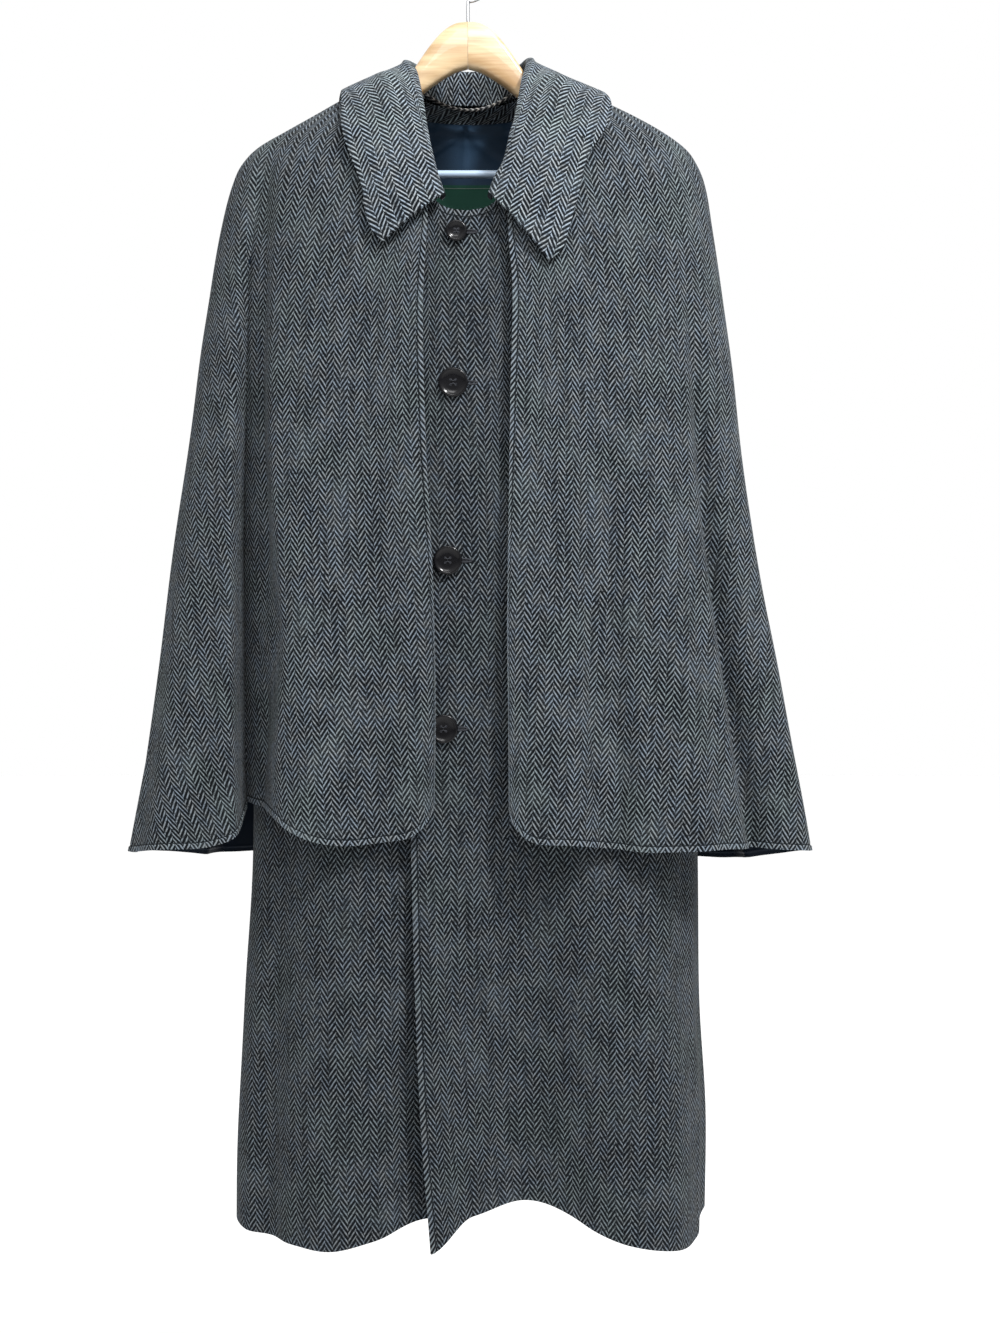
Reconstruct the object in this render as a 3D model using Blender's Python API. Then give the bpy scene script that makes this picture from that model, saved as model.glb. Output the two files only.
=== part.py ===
"""Inverness cape of herringbone tweed on a wooden hanger, in metres, front towards -Y."""
import bpy
import numpy as np
from math import cos, pi, radians, sin, tau

MM = 0.001

# Cloths, in millimetres: thicknesses, the room between them, the slit at a seam.
CLOTH = 2.4
COLLAR_CLOTH = 3.0
FACING_CLOTH = 1.2
LINING_CLOTH = 1.0
LABEL_CLOTH = 0.9
COLLAR_ROOM = 1.1
CAPE_ROOM = 2.0
CAPE_ROOM_BELOW = 6.0
INSIDE_ROOM = 1.5
GAP = 0.3
SEAM_SLIT = 0.8
UNDERLAP = 3.4
# Side seams, in degrees from the centre front.
SEAM_ANGLE = 97.0
COAT_SEAM = 92.0
# The cape's deep fold: where its bottom lies at its start and at the hem.
VALLEY_START = -57.0
VALLEY_END = -38.0
VALLEY_TOP = 215.0
VALLEY_RUN = 605.0
# Rounded corner of the cape's front edges, and the over front's long corner.
CORNER_WIDE = 30.0
CORNER_HIGH = 34.0
OVER_EDGE_HEM = 26
OVER_EDGE_WIDE = 42.0
# Neck inside: rows below the neck seam, angle where each cloth ends, label's depths.
FACING_ROWS = [0.9, 4, 8, 11.5]
FACING_END = 116
LINING_ROWS = [12.2, 17, 24, 32, 42, 55, 70, 85, 100, 117, 135, 155, 175]
LINING_END = 124
LABEL_END = 169.5
LABEL_TOP = 196
LABEL_BOTTOM = 236
# Hanging loop: half its span, sag, depth, cord radius, and the oval that its ends follow.
LOOP_HALF = 45.0
LOOP_SAG = 12.5
LOOP_DEPTH = 117.0
LOOP_CORD = 1.8
LOOP_OVAL = (75.0, 62.0)
LOOP_INSET = 5.95
# Hanger: trouser bar and wire hook.
BAR_RADIUS = 4.2
BAR_END = 183.0
BAR_DEPTH = 214.4
WIRE = 1.7
HOOK_RADIUS = 21.5
HOOK_TURN = 250
HOOK_FOOT = -62.2

# Coat body, a row per height: depth below the hook, half widths, front and back depth.
COAT = [
    (118, 68, 68, 46, 57),
    (127, 81, 83, 51.5, 67),
    (137, 99, 104, 57, 75),
    (148, 120, 127, 62.5, 80),
    (165, 150, 163, 69, 87),
    (180, 177, 190, 74, 91),
    (195, 203, 209, 78, 94),
    (210, 217, 220, 81, 96),
    (225, 221, 224, 83, 97),
    (270, 222, 226, 86.5, 98),
    (360, 221, 227, 90, 97),
    (540, 218, 228, 92, 94),
    (720, 215, 230, 93, 92),
    (900, 215, 231, 94, 92),
    (1040, 223, 233, 96, 94),
    (1160, 230, 240, 98, 97),
    (1270, 231, 238, 100, 100),
]
# Cape, the same columns.
CAPE = [
    (118, 77, 77, 52, 64),
    (127, 91, 93, 58, 74),
    (137, 109, 114, 64, 82),
    (148, 130, 137, 70, 88),
    (165, 160, 173, 77, 95),
    (180, 187, 200, 82, 100),
    (195, 213, 220, 86, 104),
    (210, 227, 230, 89, 106),
    (225, 234, 236, 91, 108),
    (270, 246, 244, 95, 111),
    (360, 261, 257, 99, 115),
    (540, 287, 279, 102, 119),
    (720, 313, 310, 105, 124),
    (900, 342, 344, 109, 131),
]
# Neck seam and hems: angle from the centre front, depth below the hook.
NECK = [(0, 277), (6, 271), (12, 246), (20, 208), (30, 178), (45, 151), (60, 136),
        (75, 127), (90, 124), (180, 125)]
COAT_HEM = [(-180, 1243), (-120, 1250), (-90, 1252), (-65, 1257), (-43, 1256), (-32, 1256),
            (-22, 1246), (-12, 1233), (4, 1228), (14, 1221), (20, 1223), (26, 1231), (32, 1244),
            (39, 1254), (51, 1262), (62, 1266), (71, 1264), (90, 1246), (120, 1250), (180, 1243)]
CAPE_HEM = [(-180, 906), (-130, 902), (-100, 893), (-80, 890), (-60, 882), (-46, 876),
            (-41, 864), (-38, 840), (-35, 842), (-31, 858), (-22, 874), (-12, 869), (-4, 862),
            (4, 866), (10, 871), (17, 873), (24, 878), (30, 881), (45, 880), (60, 883),
            (90, 890), (100, 893), (130, 908), (180, 906)]
# Front edges: depth below the hook, distance from the centre.
CAPE_EDGE_RIGHT = [(240, -35), (287, -36.1), (365, -39.8), (495, -37), (645, -29.6),
                   (741, -27.7), (833, -28.6), (900, -28.6)]
CAPE_EDGE_LEFT = [(240, 38), (311, 40.4), (345, 43.2), (455, 41.3), (579, 39.5), (663, 38.5),
                  (756, 39.5), (900, 40.4)]
COAT_EDGE_LEFT = [(240, -50), (870, -51.5), (1018, -47.5), (1159, -40.9), (1249, -33.5),
                  (1270, -32)]
COAT_EDGE_RIGHT = [(240, 17), (1270, 17)]
# Folds of the cape: angle at start and hem, half widths there, start and full depth,
# how far in the fold goes at the hem, and how far it leans outwards.
CAPE_FOLDS = [
    (VALLEY_START, VALLEY_END, 8.5, 5.5, 190, 800, 50, 26),
    (-36, -27, 10, 9, 400, 880, -9, 0),
    (-15, -17, 9, 8, 330, 880, 6, 0),
    (-70, -60, 14, 12, 300, 880, -9, 0),
    (-96, -84, 12, 10, 300, 880, 10, 0),
    (29, 25, 5.5, 6.5, 250, 800, 15, 0),
    (16, 14, 7, 7, 420, 880, -6, 0),
    (57, 57.5, 6.5, 7.5, 250, 800, 17, 0),
    (42, 41, 9, 8, 330, 880, -9, 0),
    (76, 73, 12, 10, 300, 880, -10, 0),
    (98, 90, 10, 9, 300, 880, 10, 0),
    (-128, -122, 12, 9, 260, 880, 22, 4),
    (-148, -142, 13, 11, 300, 880, -12, 0),
    (-166, -162, 10, 9, 240, 880, 18, 0),
    (178, 176, 10, 9, 300, 880, -11, 0),
    (158, 156, 11, 9, 250, 880, 20, 0),
    (140, 138, 11, 10, 300, 880, -12, 0),
    (122, 118, 12, 9, 280, 880, 19, 4),
]
COAT_FOLDS = [
    (12, 14, 22, 26, 560, 1250, 42, 0),
    (48, 52, 18, 20, 620, 1250, -15, 0),
    (-40, -36, 18, 20, 620, 1250, -9, 0),
    (-58, -58, 12, 12, 760, 1250, 8, 0),
    (82, 82, 13, 12, 700, 1250, 6, 0),
    (-112, -112, 14, 14, 500, 1250, 14, 0),
    (-136, -136, 15, 14, 500, 1250, -12, 0),
    (-163, -163, 15, 15, 450, 1250, 19, 0),
    (172, 172, 14, 14, 500, 1250, -11, 0),
    (148, 148, 15, 15, 460, 1250, 18, 0),
    (120, 120, 15, 14, 560, 1250, -10, 0),
]
UNDER_FOLD = (-10, -10, 11, 12, 560, 1250, 20, 0)
ARMHOLE_TOP = 206.0
ARMHOLE_BOTTOM = 475.0
ARMHOLE_ANGLE = 36.0
# Collar, a row per station: roll line x, y, depth; outer edge angle and depth; roll radius;
# angle at which it is sewn to the neck.
LEAF_RIGHT = [
    (-21.5, -94, 265, -17.5, 309, 4.4, -5.5),
    (-26, -93.5, 251, -19.0, 307, 4.5, -8.5),
    (-34, -88, 224, -21.8, 281, 4.6, -13),
    (-41, -80, 197, -24.6, 244, 4.7, -19),
    (-47.7, -61, 161, -36, 186, 4.7, -28),
    (-56, -30, 121, -60, 152, 4.8, -52),
    (-63, 0, 101, -90, 145, 5, -90),
    (-48, 41, 92, -128, 158, 5, -140),
]
LEAF_LEFT = [
    (22.7, -94, 266, 17.8, 327, 4.4, 5.5),
    (28, -93.5, 257, 20.2, 320, 4.5, 9),
    (38, -90, 234, 24.7, 270, 4.6, 13),
    (45.5, -83, 208, 29.4, 221, 4.7, 18.6),
    (53, -67, 176, 43, 180, 4.7, 27),
    (60, -32, 128, 63, 153, 4.8, 50),
    (64, 0, 99, 90, 144, 5, 90),
    (49, 41, 92, 128, 158, 5, 140),
]
BACK_ROLL = (0, 66, 88, -180, 186, 5, -180)
# Collar's foot set in from the seam and above it, least height of its stand, crown of its fall.
FOOT_INSET = 0.6
FOOT_RISE = 1.6
LEAST_STAND = 3.0
FALL_CROWN = 7.0
# Buttons: across, depth below the hook, radius.
BUTTONS = [(-9, 297, 10), (-12, 440, 14), (-17, 607, 13.6), (-21, 765, 13.6)]
# Hanger arm: across, depth of its top, height, half thickness.
ARM = [(0, 62.5, 46, 8), (13, 64.5, 48, 8), (26, 73, 47, 8), (39, 88, 41, 8), (50, 104, 34, 8),
       (56, 113, 30, 8), (62, 120, 27, 8), (75, 129, 24, 8), (90, 135.2, 22, 9),
       (128, 157.9, 21, 11), (160, 176.9, 20, 13), (188, 192.9, 20, 14.5), (204, 204.9, 17, 14)]


def along(table, column, at):
    """Smooth curve through one column of a table."""
    keys = np.array([row[0] for row in table], float)
    values = np.array([row[column] for row in table], float)
    slopes = np.diff(values) / np.diff(keys)
    tangent = np.concatenate([slopes[:1], (slopes[1:] + slopes[:-1]) / 2, slopes[-1:]])
    at = np.clip(np.asarray(at, float), keys[0], keys[-1])
    i = np.clip(np.searchsorted(keys, at, side="right") - 1, 0, len(keys) - 2)
    step = keys[i + 1] - keys[i]
    t = (at - keys[i]) / step
    return (values[i] * (1 + 2 * t) * (1 - t) ** 2 + tangent[i] * step * t * (1 - t) ** 2
            + values[i + 1] * t * t * (3 - 2 * t) + tangent[i + 1] * step * t * t * (t - 1))


def ease(t):
    """A share from 0 to 1 that starts and ends softly."""
    t = np.clip(t, 0, 1)
    return t * t * (3 - 2 * t)


def widths(form, angle, depth):
    """Half width and half depth of a form's section on the side that an angle faces."""
    across = np.where(np.sin(angle) < 0, along(form, 1, depth), along(form, 2, depth))
    deep = np.where(np.cos(angle) > 0, along(form, 3, depth), along(form, 4, depth))
    return across, deep


def surface(form, folds, angle, depth, inset=0.0):
    """Points of a hanging cloth at an angle round the body and a depth below the hook."""
    angle = np.asarray(angle, float)
    depth = np.asarray(depth, float) + 0 * angle
    across, deep = widths(form, angle, depth)
    x, y = across * np.sin(angle), -deep * np.cos(angle)
    nx, ny = np.sin(angle) / across, -np.cos(angle) / deep
    size = np.hypot(nx, ny)
    nx, ny = nx / size, ny / size
    inward = inset + 0 * angle
    lean = 0 * angle
    for start_at, end_at, start_width, end_width, top, full, into, leaning in folds:
        share = np.clip((depth - top) / (full - top), 0, 1.1)
        centre = np.radians(start_at + (end_at - start_at) * share)
        half = np.radians(start_width + (end_width - start_width) * share)
        away = (angle - centre + pi) % tau - pi
        bell = np.where(abs(away) < half, 0.5 + 0.5 * np.cos(pi * away / half), 0)
        grow = share * (2 - share) if leaning else ease(share)
        inward = inward + into * grow * bell
        lean = lean + np.sign(start_at) * leaning * grow * bell
    x = x - inward * nx - lean * ny
    y = y - inward * ny + lean * nx
    return np.stack([x, y, -depth], -1)


def keep_out(points, room):
    """Moves points of the cape out to a clear distance from the coat's body."""
    x, y, depth = points[..., 0], points[..., 1], -points[..., 2]
    angle = np.arctan2(x / 222, -y / 95)
    across, deep = widths(COAT, angle, depth)
    far = np.hypot(x / across, y / deep)
    nx, ny = x / across ** 2, y / deep ** 2
    size = np.hypot(nx, ny)
    away = (far - 1) * np.hypot(x, y) / np.maximum(far, 1e-6) * 0.8
    push = np.clip(room - away, 0, None)
    out = points.copy()
    out[..., 0] += push * nx / size
    out[..., 1] += push * ny / size
    return out


def neck_at(angle):
    """Depth of the neck seam at an angle from the centre front."""
    return along(NECK, 1, np.degrees(abs(angle)))


def edge_angle(form, table, depth):
    """Angle of a front edge whose distance from the centre a table gives by depth."""
    x = along(table, 1, depth)
    across = np.where(x < 0, along(form, 1, depth), along(form, 2, depth))
    return np.arcsin(x / across)


def spaced(points, count):
    """Shares of a line at which equal lengths of it end."""
    steps = np.linalg.norm(np.diff(points, axis=0), axis=1)
    length = np.concatenate([[0], np.cumsum(steps)])
    return np.interp(np.linspace(0, length[-1], count + 1), length,
                     np.linspace(0, 1, len(points)))


def normals(grid):
    """Unit normals of a grid of points."""
    normal = np.cross(np.gradient(grid, axis=0), np.gradient(grid, axis=1))
    return normal / (np.linalg.norm(normal, axis=-1, keepdims=True) + 1e-12)


def inside_of(grid, by):
    """The grid moved in from a body's outer face, towards its middle."""
    out = normals(grid)
    if (out[:, :, :2] * grid[:, :, :2]).sum() < 0:
        out = -out
    return grid - out * by


def make(name, points, faces, colour, rough, metal=0.0):
    mesh = bpy.data.meshes.new(name)
    mesh.from_pydata([tuple(p) for p in points], [], faces)
    mesh.validate()
    made = bpy.data.objects.new(name, mesh)
    bpy.context.scene.collection.objects.link(made)
    material = bpy.data.materials.new(name)
    material.use_nodes = True
    shader = material.node_tree.nodes["Principled BSDF"]
    shader.inputs["Base Color"].default_value = (*colour, 1)
    shader.inputs["Roughness"].default_value = rough
    shader.inputs["Metallic"].default_value = metal
    mesh.materials.append(material)
    mesh.shade_smooth()
    mesh.set_sharp_from_angle(angle=radians(50))
    return made


def sheet(name, grid, thick, colour, rough=0.9, spare=0):
    """One closed body from a grid of points, its second face and the rim between them.

    A spare column at each side only gives the seam's own normal, so that two cloths meet square.
    """
    grid = grid * MM
    if (normals(grid)[:, :, :2] * grid[:, :, :2]).sum() < 0:
        grid = grid[:, ::-1]
    inner = grid - normals(grid) * thick * MM
    if spare:
        grid, inner = grid[:, spare:-spare], inner[:, spare:-spare]
    rows, columns = grid.shape[:2]
    points = np.concatenate([grid.reshape(-1, 3), inner.reshape(-1, 3)])
    count = rows * columns

    def at(i, j, side=0):
        return side * count + i * columns + j

    faces = []
    for i in range(rows - 1):
        for j in range(columns - 1):
            faces.append((at(i, j), at(i + 1, j), at(i + 1, j + 1), at(i, j + 1)))
            faces.append((at(i, j, 1), at(i, j + 1, 1), at(i + 1, j + 1, 1), at(i + 1, j, 1)))
    rim = [(i, 0) for i in range(rows)] + [(rows - 1, j) for j in range(1, columns)]
    rim += [(i, columns - 1) for i in range(rows - 2, -1, -1)]
    rim += [(0, j) for j in range(columns - 2, 0, -1)]
    for a, b in zip(rim, rim[1:] + rim[:1]):
        faces.append((at(*b), at(*a), at(*a, 1), at(*b, 1)))
    return make(name, points, faces, colour, rough)


def turned(name, profile, place, turn, colour, rough, count=16, metal=0.0):
    """A body turned about an axis: profile of radius and height, turn maps it into place."""
    points, faces = [], []
    for radius, height in profile:
        for k in range(count):
            a = tau * k / count
            points.append((radius * cos(a), radius * sin(a), height))
    rings = len(profile)
    for r in range(rings - 1):
        for k in range(count):
            n = (k + 1) % count
            faces.append((r * count + k, r * count + n, (r + 1) * count + n, (r + 1) * count + k))
    low, high = len(points), len(points) + 1
    points += [(0, 0, profile[0][1]), (0, 0, profile[-1][1])]
    for k in range(count):
        n = (k + 1) % count
        faces.append((low, n, k))
        faces.append((high, (rings - 1) * count + k, (rings - 1) * count + n))
    points = [(np.array(turn) @ np.array(p) + np.array(place)) * MM for p in points]
    return make(name, points, faces, colour, rough, metal)


def sweep(name, rings, colour, rough, metal=0.0):
    """A closed body through rings of the same number of points."""
    rings = np.array(rings) * MM
    rows, count = rings.shape[:2]
    faces = [tuple(range(count))[::-1], tuple((rows - 1) * count + k for k in range(count))]
    for r in range(rows - 1):
        for k in range(count):
            n = (k + 1) % count
            faces.append((r * count + k, r * count + n, (r + 1) * count + n, (r + 1) * count + k))
    return make(name, rings.reshape(-1, 3), faces, colour, rough, metal)


def tube(name, line, radius, colour, rough, count=8, metal=0.0):
    line = np.array(line, float)
    ways = np.gradient(line, axis=0)
    rings = []
    side = np.array([0.0, 1.0, 0.0])
    for point, way in zip(line, ways):
        way = way / np.linalg.norm(way)
        side = side - way * side.dot(way)
        side /= np.linalg.norm(side)
        other = np.cross(way, side)
        rings.append([point + radius * (side * cos(tau * k / count) + other * sin(tau * k / count))
                      for k in range(count)])
    return sweep(name, rings, colour, rough, metal)


CAPE_ROWS = np.array([0, 8, 18, 31, 45, 60, 78, 100, 140, 200, 280, 370, 460, 550, 640, 710,
                      764]) / 764
COAT_ROWS = np.array([0, 12, 30, 50, 68, 83, 100, 128, 165, 225, 290, 330, 355, 430, 560, 700,
                      850, 990, 1128]) / 1128
TWEED = (0.085, 0.10, 0.115)
NAVY = (0.014, 0.027, 0.05)
GREEN = (0.02, 0.05, 0.04)
HORN = (0.02, 0.02, 0.022)
WOOD_RIGHT = (0.62, 0.44, 0.28)
WOOD_LEFT = (0.66, 0.48, 0.29)
PALE_BLUE = (0.36, 0.47, 0.58)
STEEL = (0.55, 0.56, 0.58)


def with_spare(shares):
    return np.concatenate([[-shares[1]], shares, [2 - shares[-2]]])


def cape_part(start, end, columns, hem_corner=0):
    """Grid of a part of the cape; start and end give an angle for a depth.

    On the right front the columns follow the deep fold, which moves with the depth.
    """
    middle = 800.0
    first, last = float(start(middle)), float(end(middle))
    fine = np.linspace(0, 1, 1500)
    line = surface(CAPE, CAPE_FOLDS, first + (last - first) * fine, middle)
    shares = with_spare(spaced(line, columns))
    nominal = first + (last - first) * shares
    pivot = (radians(VALLEY_END) - first) / (last - first)

    def placed(a, b, valley):
        if hem_corner <= 0:
            return a + (b - a) * shares
        return np.where(shares < pivot, a + (valley - a) * shares / pivot,
                        valley + (b - valley) * (shares - pivot) / (1 - pivot))

    first_depth, last_depth = (250.0, 150.0) if hem_corner > 0 else (150.0, 250.0)
    at_neck = placed(start(first_depth), end(last_depth), radians(VALLEY_START))
    top = neck_at((at_neck + pi) % tau - pi)
    hem_deg = np.degrees((nominal + pi) % tau - pi)
    hem = along(CAPE_HEM, 1, hem_deg)
    if hem_corner:
        flat = surface(CAPE, [], nominal, middle)[:, 0]
        far = abs(flat - flat[1 if hem_corner > 0 else -2])
        corner = np.clip(1 - far / CORNER_WIDE, 0, 1)
        hem = hem - CORNER_HIGH * (1 - np.sqrt(1 - corner ** 2 * 0.98))
    depth = top[None] + CAPE_ROWS[:, None] * (hem - top)[None]
    share = np.clip((depth - VALLEY_TOP) / VALLEY_RUN, 0, 1.1)
    valley = np.radians(VALLEY_START + (VALLEY_END - VALLEY_START) * share)
    angle = placed(start(depth), end(depth), valley)
    grid = surface(CAPE, CAPE_FOLDS, angle, depth)
    room = CAPE_ROOM + CAPE_ROOM_BELOW * ease((depth - 230) / 120)
    return keep_out(grid, CLOTH + room)


def seam(form, degrees, side, shift):
    """Angle of a seam, moved by half the gap between its two cloths."""
    def at(depth):
        across, deep = widths(form, radians(degrees), depth)
        speed = np.hypot(across * cos(radians(degrees)), deep * sin(radians(degrees)))
        return radians(degrees) + side * shift / speed
    return at


def coat_part(start, end, columns, folds, holes, under=False, corner=False, spread=1.0):
    """Grid of a part of the coat; holes tells which way the armholes pull its two ends."""
    last = float(end(900.0))
    at_neck, at_hem = float(start(250.0)), float(start(1245.0))
    shares = with_spare(np.linspace(0, 1, columns + 1) ** spread)
    top = neck_at((at_neck + (last - at_neck) * shares + pi) % tau - pi)
    nominal = at_hem + (last - at_hem) * shares
    hem = along(COAT_HEM, 1, np.degrees((nominal + pi) % tau - pi))
    if corner:
        flat = surface(COAT, [], nominal, 1249.0)[:, 0]
        hem = hem + OVER_EDGE_HEM * ease(1 - (flat - flat[1]) / OVER_EDGE_WIDE)
    depth = top[None] + COAT_ROWS[:, None] * (hem - top)[None]
    a, b = start(depth), end(depth)
    angle = a + (b - a) * shares[None]
    angle += armhole(depth) * (holes[0] * (1 - shares) ** 3 + holes[1] * shares ** 3)
    inset = 0.0
    if under:
        x = surface(COAT, [], angle, depth)[..., 0]
        inset = UNDERLAP * ease((x + 78) / 18)
    return surface(COAT, folds, angle, depth, inset)


def armhole(depth):
    """Angle by which the arm's opening pulls a cloth's edge back from the side seam."""
    share = np.clip((depth - ARMHOLE_TOP) / (ARMHOLE_BOTTOM - ARMHOLE_TOP), 0, 1)
    return radians(ARMHOLE_ANGLE) * np.sin(pi * share) ** 0.65


def collar_grid():
    """Collar from its foot at the neck seam, over the roll line, to its outer edge."""
    other = [(*row[:3], row[3] - 360, *row[4:6], row[6] - 360) for row in LEAF_LEFT[::-1]]
    rows = LEAF_RIGHT + [BACK_ROLL] + other
    table = [(k, *row) for k, row in enumerate(rows)]
    fine = np.linspace(0, len(table) - 1, 400)
    rims = surface(CAPE, [], np.radians(along(table, 4, fine)), along(table, 5, fine))
    stations = spaced(rims, 46) * (len(table) - 1)
    columns = []
    for s in stations:
        x, y, d, edge, edge_depth, radius, sewn = (
            float(along(table, c, s)) for c in range(1, 8))
        outward = np.array([x, y + 8, 0.0])
        outward /= np.linalg.norm(outward)
        down = np.array([0, 0, -1.0])
        top = np.array([x, y, -d])
        plan = (radians(sewn) + pi) % tau - pi
        seam_depth = float(neck_at(plan))
        foot = surface(COAT, [], np.array(plan), seam_depth, FOOT_INSET) - outward * 2.0
        reach = top - foot
        flatness = np.hypot(reach[0], reach[1]) / np.linalg.norm(reach)
        foot[2] = -seam_depth + FOOT_RISE + COLLAR_CLOTH * 2.5 * flatness
        top[2] = max(top[2], foot[2] + LEAST_STAND)
        rise = top[2] - foot[2]
        inner = top - outward * radius + down * radius * 0.9
        inner[2] = max(inner[2], foot[2] + 0.4 * rise)
        outer = top + outward * radius + down * radius * 0.9
        edge_angle_here = radians(edge)
        rim = surface(CAPE, [], np.array(edge_angle_here), edge_depth)
        rim = clear_of_cape(rim, COLLAR_CLOTH + COLLAR_ROOM)
        line = [foot, inner, top, outer]
        for share in (0.25, 0.5, 0.75, 0.92):
            point = outer + (rim - outer) * share
            point = point + outward * FALL_CROWN * sin(pi * share)
            line.append(clear_of_cape(point, COLLAR_CLOTH + COLLAR_ROOM))
        line.append(rim)
        columns.append(line)
    return np.array(columns)


def clear_of_cape(point, room):
    """Moves a point outwards until it clears the cape by the room given."""
    point = np.array(point, float)
    for _ in range(6):
        def level(p):
            angle = np.arctan2(p[0] / 120, -p[1] / 80)
            across, deep = widths(CAPE, angle, max(-p[2], 118.0))
            return float(np.hypot(p[0] / across, p[1] / deep))
        here = level(point)
        slope = np.array([level(point + s) - here for s in np.eye(3) * 0.5]) / 0.5
        steep = np.linalg.norm(slope)
        away = (here - 1) / steep
        if away >= room:
            break
        point = point + slope / steep * (room - away)
    return point


def lining_grid(end, below, inside, columns=18):
    """Grid of a cloth inside the back neck, from rows given below the neck seam."""
    angles = np.radians(np.linspace(-end, end - 360, columns + 1))
    top = neck_at((angles + pi) % tau - pi)[None]
    rows = np.array(below)[:, None]
    return inside_of(surface(COAT, [], angles + 0 * rows, top + rows), inside)


def front_at(across, depth):
    """The over front's outer face at a place across and a depth below the hook."""
    angle = float(edge_angle(COAT, [(0, across), (2000, across)], depth))
    return float(surface(COAT, COAT_FOLDS, np.array(angle), depth)[1])


def hanger_arm(name, side, colour):
    """Half of the hanger, with rounded corners, on one side of the glued joint."""
    rings = []
    for across in np.concatenate([np.linspace(0, 60, 9), np.linspace(72, 204, 8)]):
        top, tall, half = (float(along(ARM, c, across)) for c in (1, 2, 3))
        x = side * max(across, 0.15)
        ring = []
        for k in range(12):
            a = tau * k / 12
            ring.append((x, half * np.sign(cos(a)) * abs(cos(a)) ** 0.7,
                         -top - tall / 2 + tall / 2 * np.sign(sin(a)) * abs(sin(a)) ** 0.7))
        rings.append(ring if side > 0 else ring[::-1])
    return sweep(name, rings, colour, 0.45)


def build():
    for made in list(bpy.data.objects):
        bpy.data.objects.remove(made)
    right_edge = lambda d: edge_angle(CAPE, CAPE_EDGE_RIGHT, d)
    left_edge = lambda d: edge_angle(CAPE, CAPE_EDGE_LEFT, d)
    half = SEAM_SLIT / 2
    grid = cape_part(right_edge, seam(CAPE, -SEAM_ANGLE, 1, half), 34, 1)
    sheet("cape_right", grid, CLOTH, TWEED, spare=1)
    grid = cape_part(seam(CAPE, SEAM_ANGLE, -1, half), left_edge, 26, -1)
    sheet("cape_left", grid, CLOTH, TWEED, spare=1)
    grid = cape_part(seam(CAPE, -SEAM_ANGLE, -1, half), seam(CAPE, -360 + SEAM_ANGLE, 1, half), 30)
    sheet("cape_back", grid, CLOTH, TWEED, spare=1)

    over_edge = lambda d: edge_angle(COAT, COAT_EDGE_LEFT, d)
    under_edge = lambda d: edge_angle(COAT, COAT_EDGE_RIGHT, d)
    left, right = seam(COAT, COAT_SEAM, -1, half), seam(COAT, -COAT_SEAM, 1, half)
    grid = coat_part(over_edge, left, 20, COAT_FOLDS, (0, -1), corner=True, spread=1.2)
    sheet("front_left", grid, CLOTH, TWEED, spare=1)
    under = COAT_FOLDS + [UNDER_FOLD]
    grid = coat_part(under_edge, right, 20, under, (0, 1), under=True, spread=1.2)
    sheet("front_right", grid, CLOTH, TWEED, spare=1)
    left = seam(COAT, COAT_SEAM - 360, 1, half)
    right = seam(COAT, -COAT_SEAM, -1, half)
    grid = coat_part(right, left, 26, COAT_FOLDS, (-1, 1))
    sheet("coat_back", grid, CLOTH, TWEED, spare=1)

    inside = CLOTH + INSIDE_ROOM
    sheet("neck_facing", lining_grid(FACING_END, FACING_ROWS, inside), FACING_CLOTH, TWEED)
    sheet("back_lining", lining_grid(LINING_END, LINING_ROWS, inside), LINING_CLOTH, NAVY, 0.5)
    angles = np.radians(np.linspace(-LABEL_END, LABEL_END - 360, 9))
    depth = np.linspace(LABEL_TOP, LABEL_BOTTOM, 7)[:, None]
    label = surface(COAT, [], angles + 0 * depth, depth + 0 * angles)
    label = inside_of(label, inside + LINING_CLOTH + 2 * GAP)
    sheet("neck_label", label, LABEL_CLOTH, GREEN, 0.8)

    sheet("collar", collar_grid(), COLLAR_CLOTH, TWEED)

    wide, deep = LOOP_OVAL
    loop = [(x, deep * (1 - (x / wide) ** 2) ** 0.5 - LOOP_INSET,
             -LOOP_DEPTH - LOOP_SAG * (1 - (x / LOOP_HALF) ** 2))
            for x in np.linspace(-LOOP_HALF, LOOP_HALF, 15)]
    tube("hanging_loop", loop, LOOP_CORD, TWEED, 0.9)

    for k, (across, down, radius) in enumerate(BUTTONS, 1):
        front = min(front_at(across + a, down + b) for a in np.linspace(-radius, radius, 7)
                    for b in (-radius, 0, radius))
        shape = [(2.6, 0), (2.6, 1.3), (radius - 2, 1.6), (radius, 4.5), (radius, 3.8),
                 (radius - 1.0, 4.7), (radius - 2.2, 4.7), (radius - 4.4, 4.6), (1.5, 3.1)]
        turn = [(1, 0, 0), (0, 0, -1), (0, 1, 0)]
        turned(f"button_{k}", shape, (across, front - GAP, -down), turn, HORN, 0.25)

    hanger_arm("hanger_right", -1, WOOD_RIGHT)
    hanger_arm("hanger_left", 1, WOOD_LEFT)
    tube("hanger_bar", [(x, 0, -BAR_DEPTH) for x in (-BAR_END, 0, BAR_END)], BAR_RADIUS - 0.2,
         PALE_BLUE, 0.4, 12)
    hook = [(0, 0, HOOK_FOOT), (0, 0, -52), (0, 0, -46)]
    for k in range(15):
        a = radians(-90 + HOOK_TURN * k / 14)
        hook.append((HOOK_RADIUS * cos(a), 0, WIRE - HOOK_RADIUS + HOOK_RADIUS * sin(a)))
    tube("hanger_hook", hook, WIRE, STEEL, 0.25, 10, 1.0)


build()
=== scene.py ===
# %% [markdown]
# # Inverness cape of herringbone tweed
# A sleeveless coat with a shoulder cape, hung on a wooden hanger. Every visible piece is built
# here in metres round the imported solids: fine cloth shells on the solids' own form, with the
# weave, edge stitching, lining, buttons and glued wood that the solids leave out.

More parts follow.
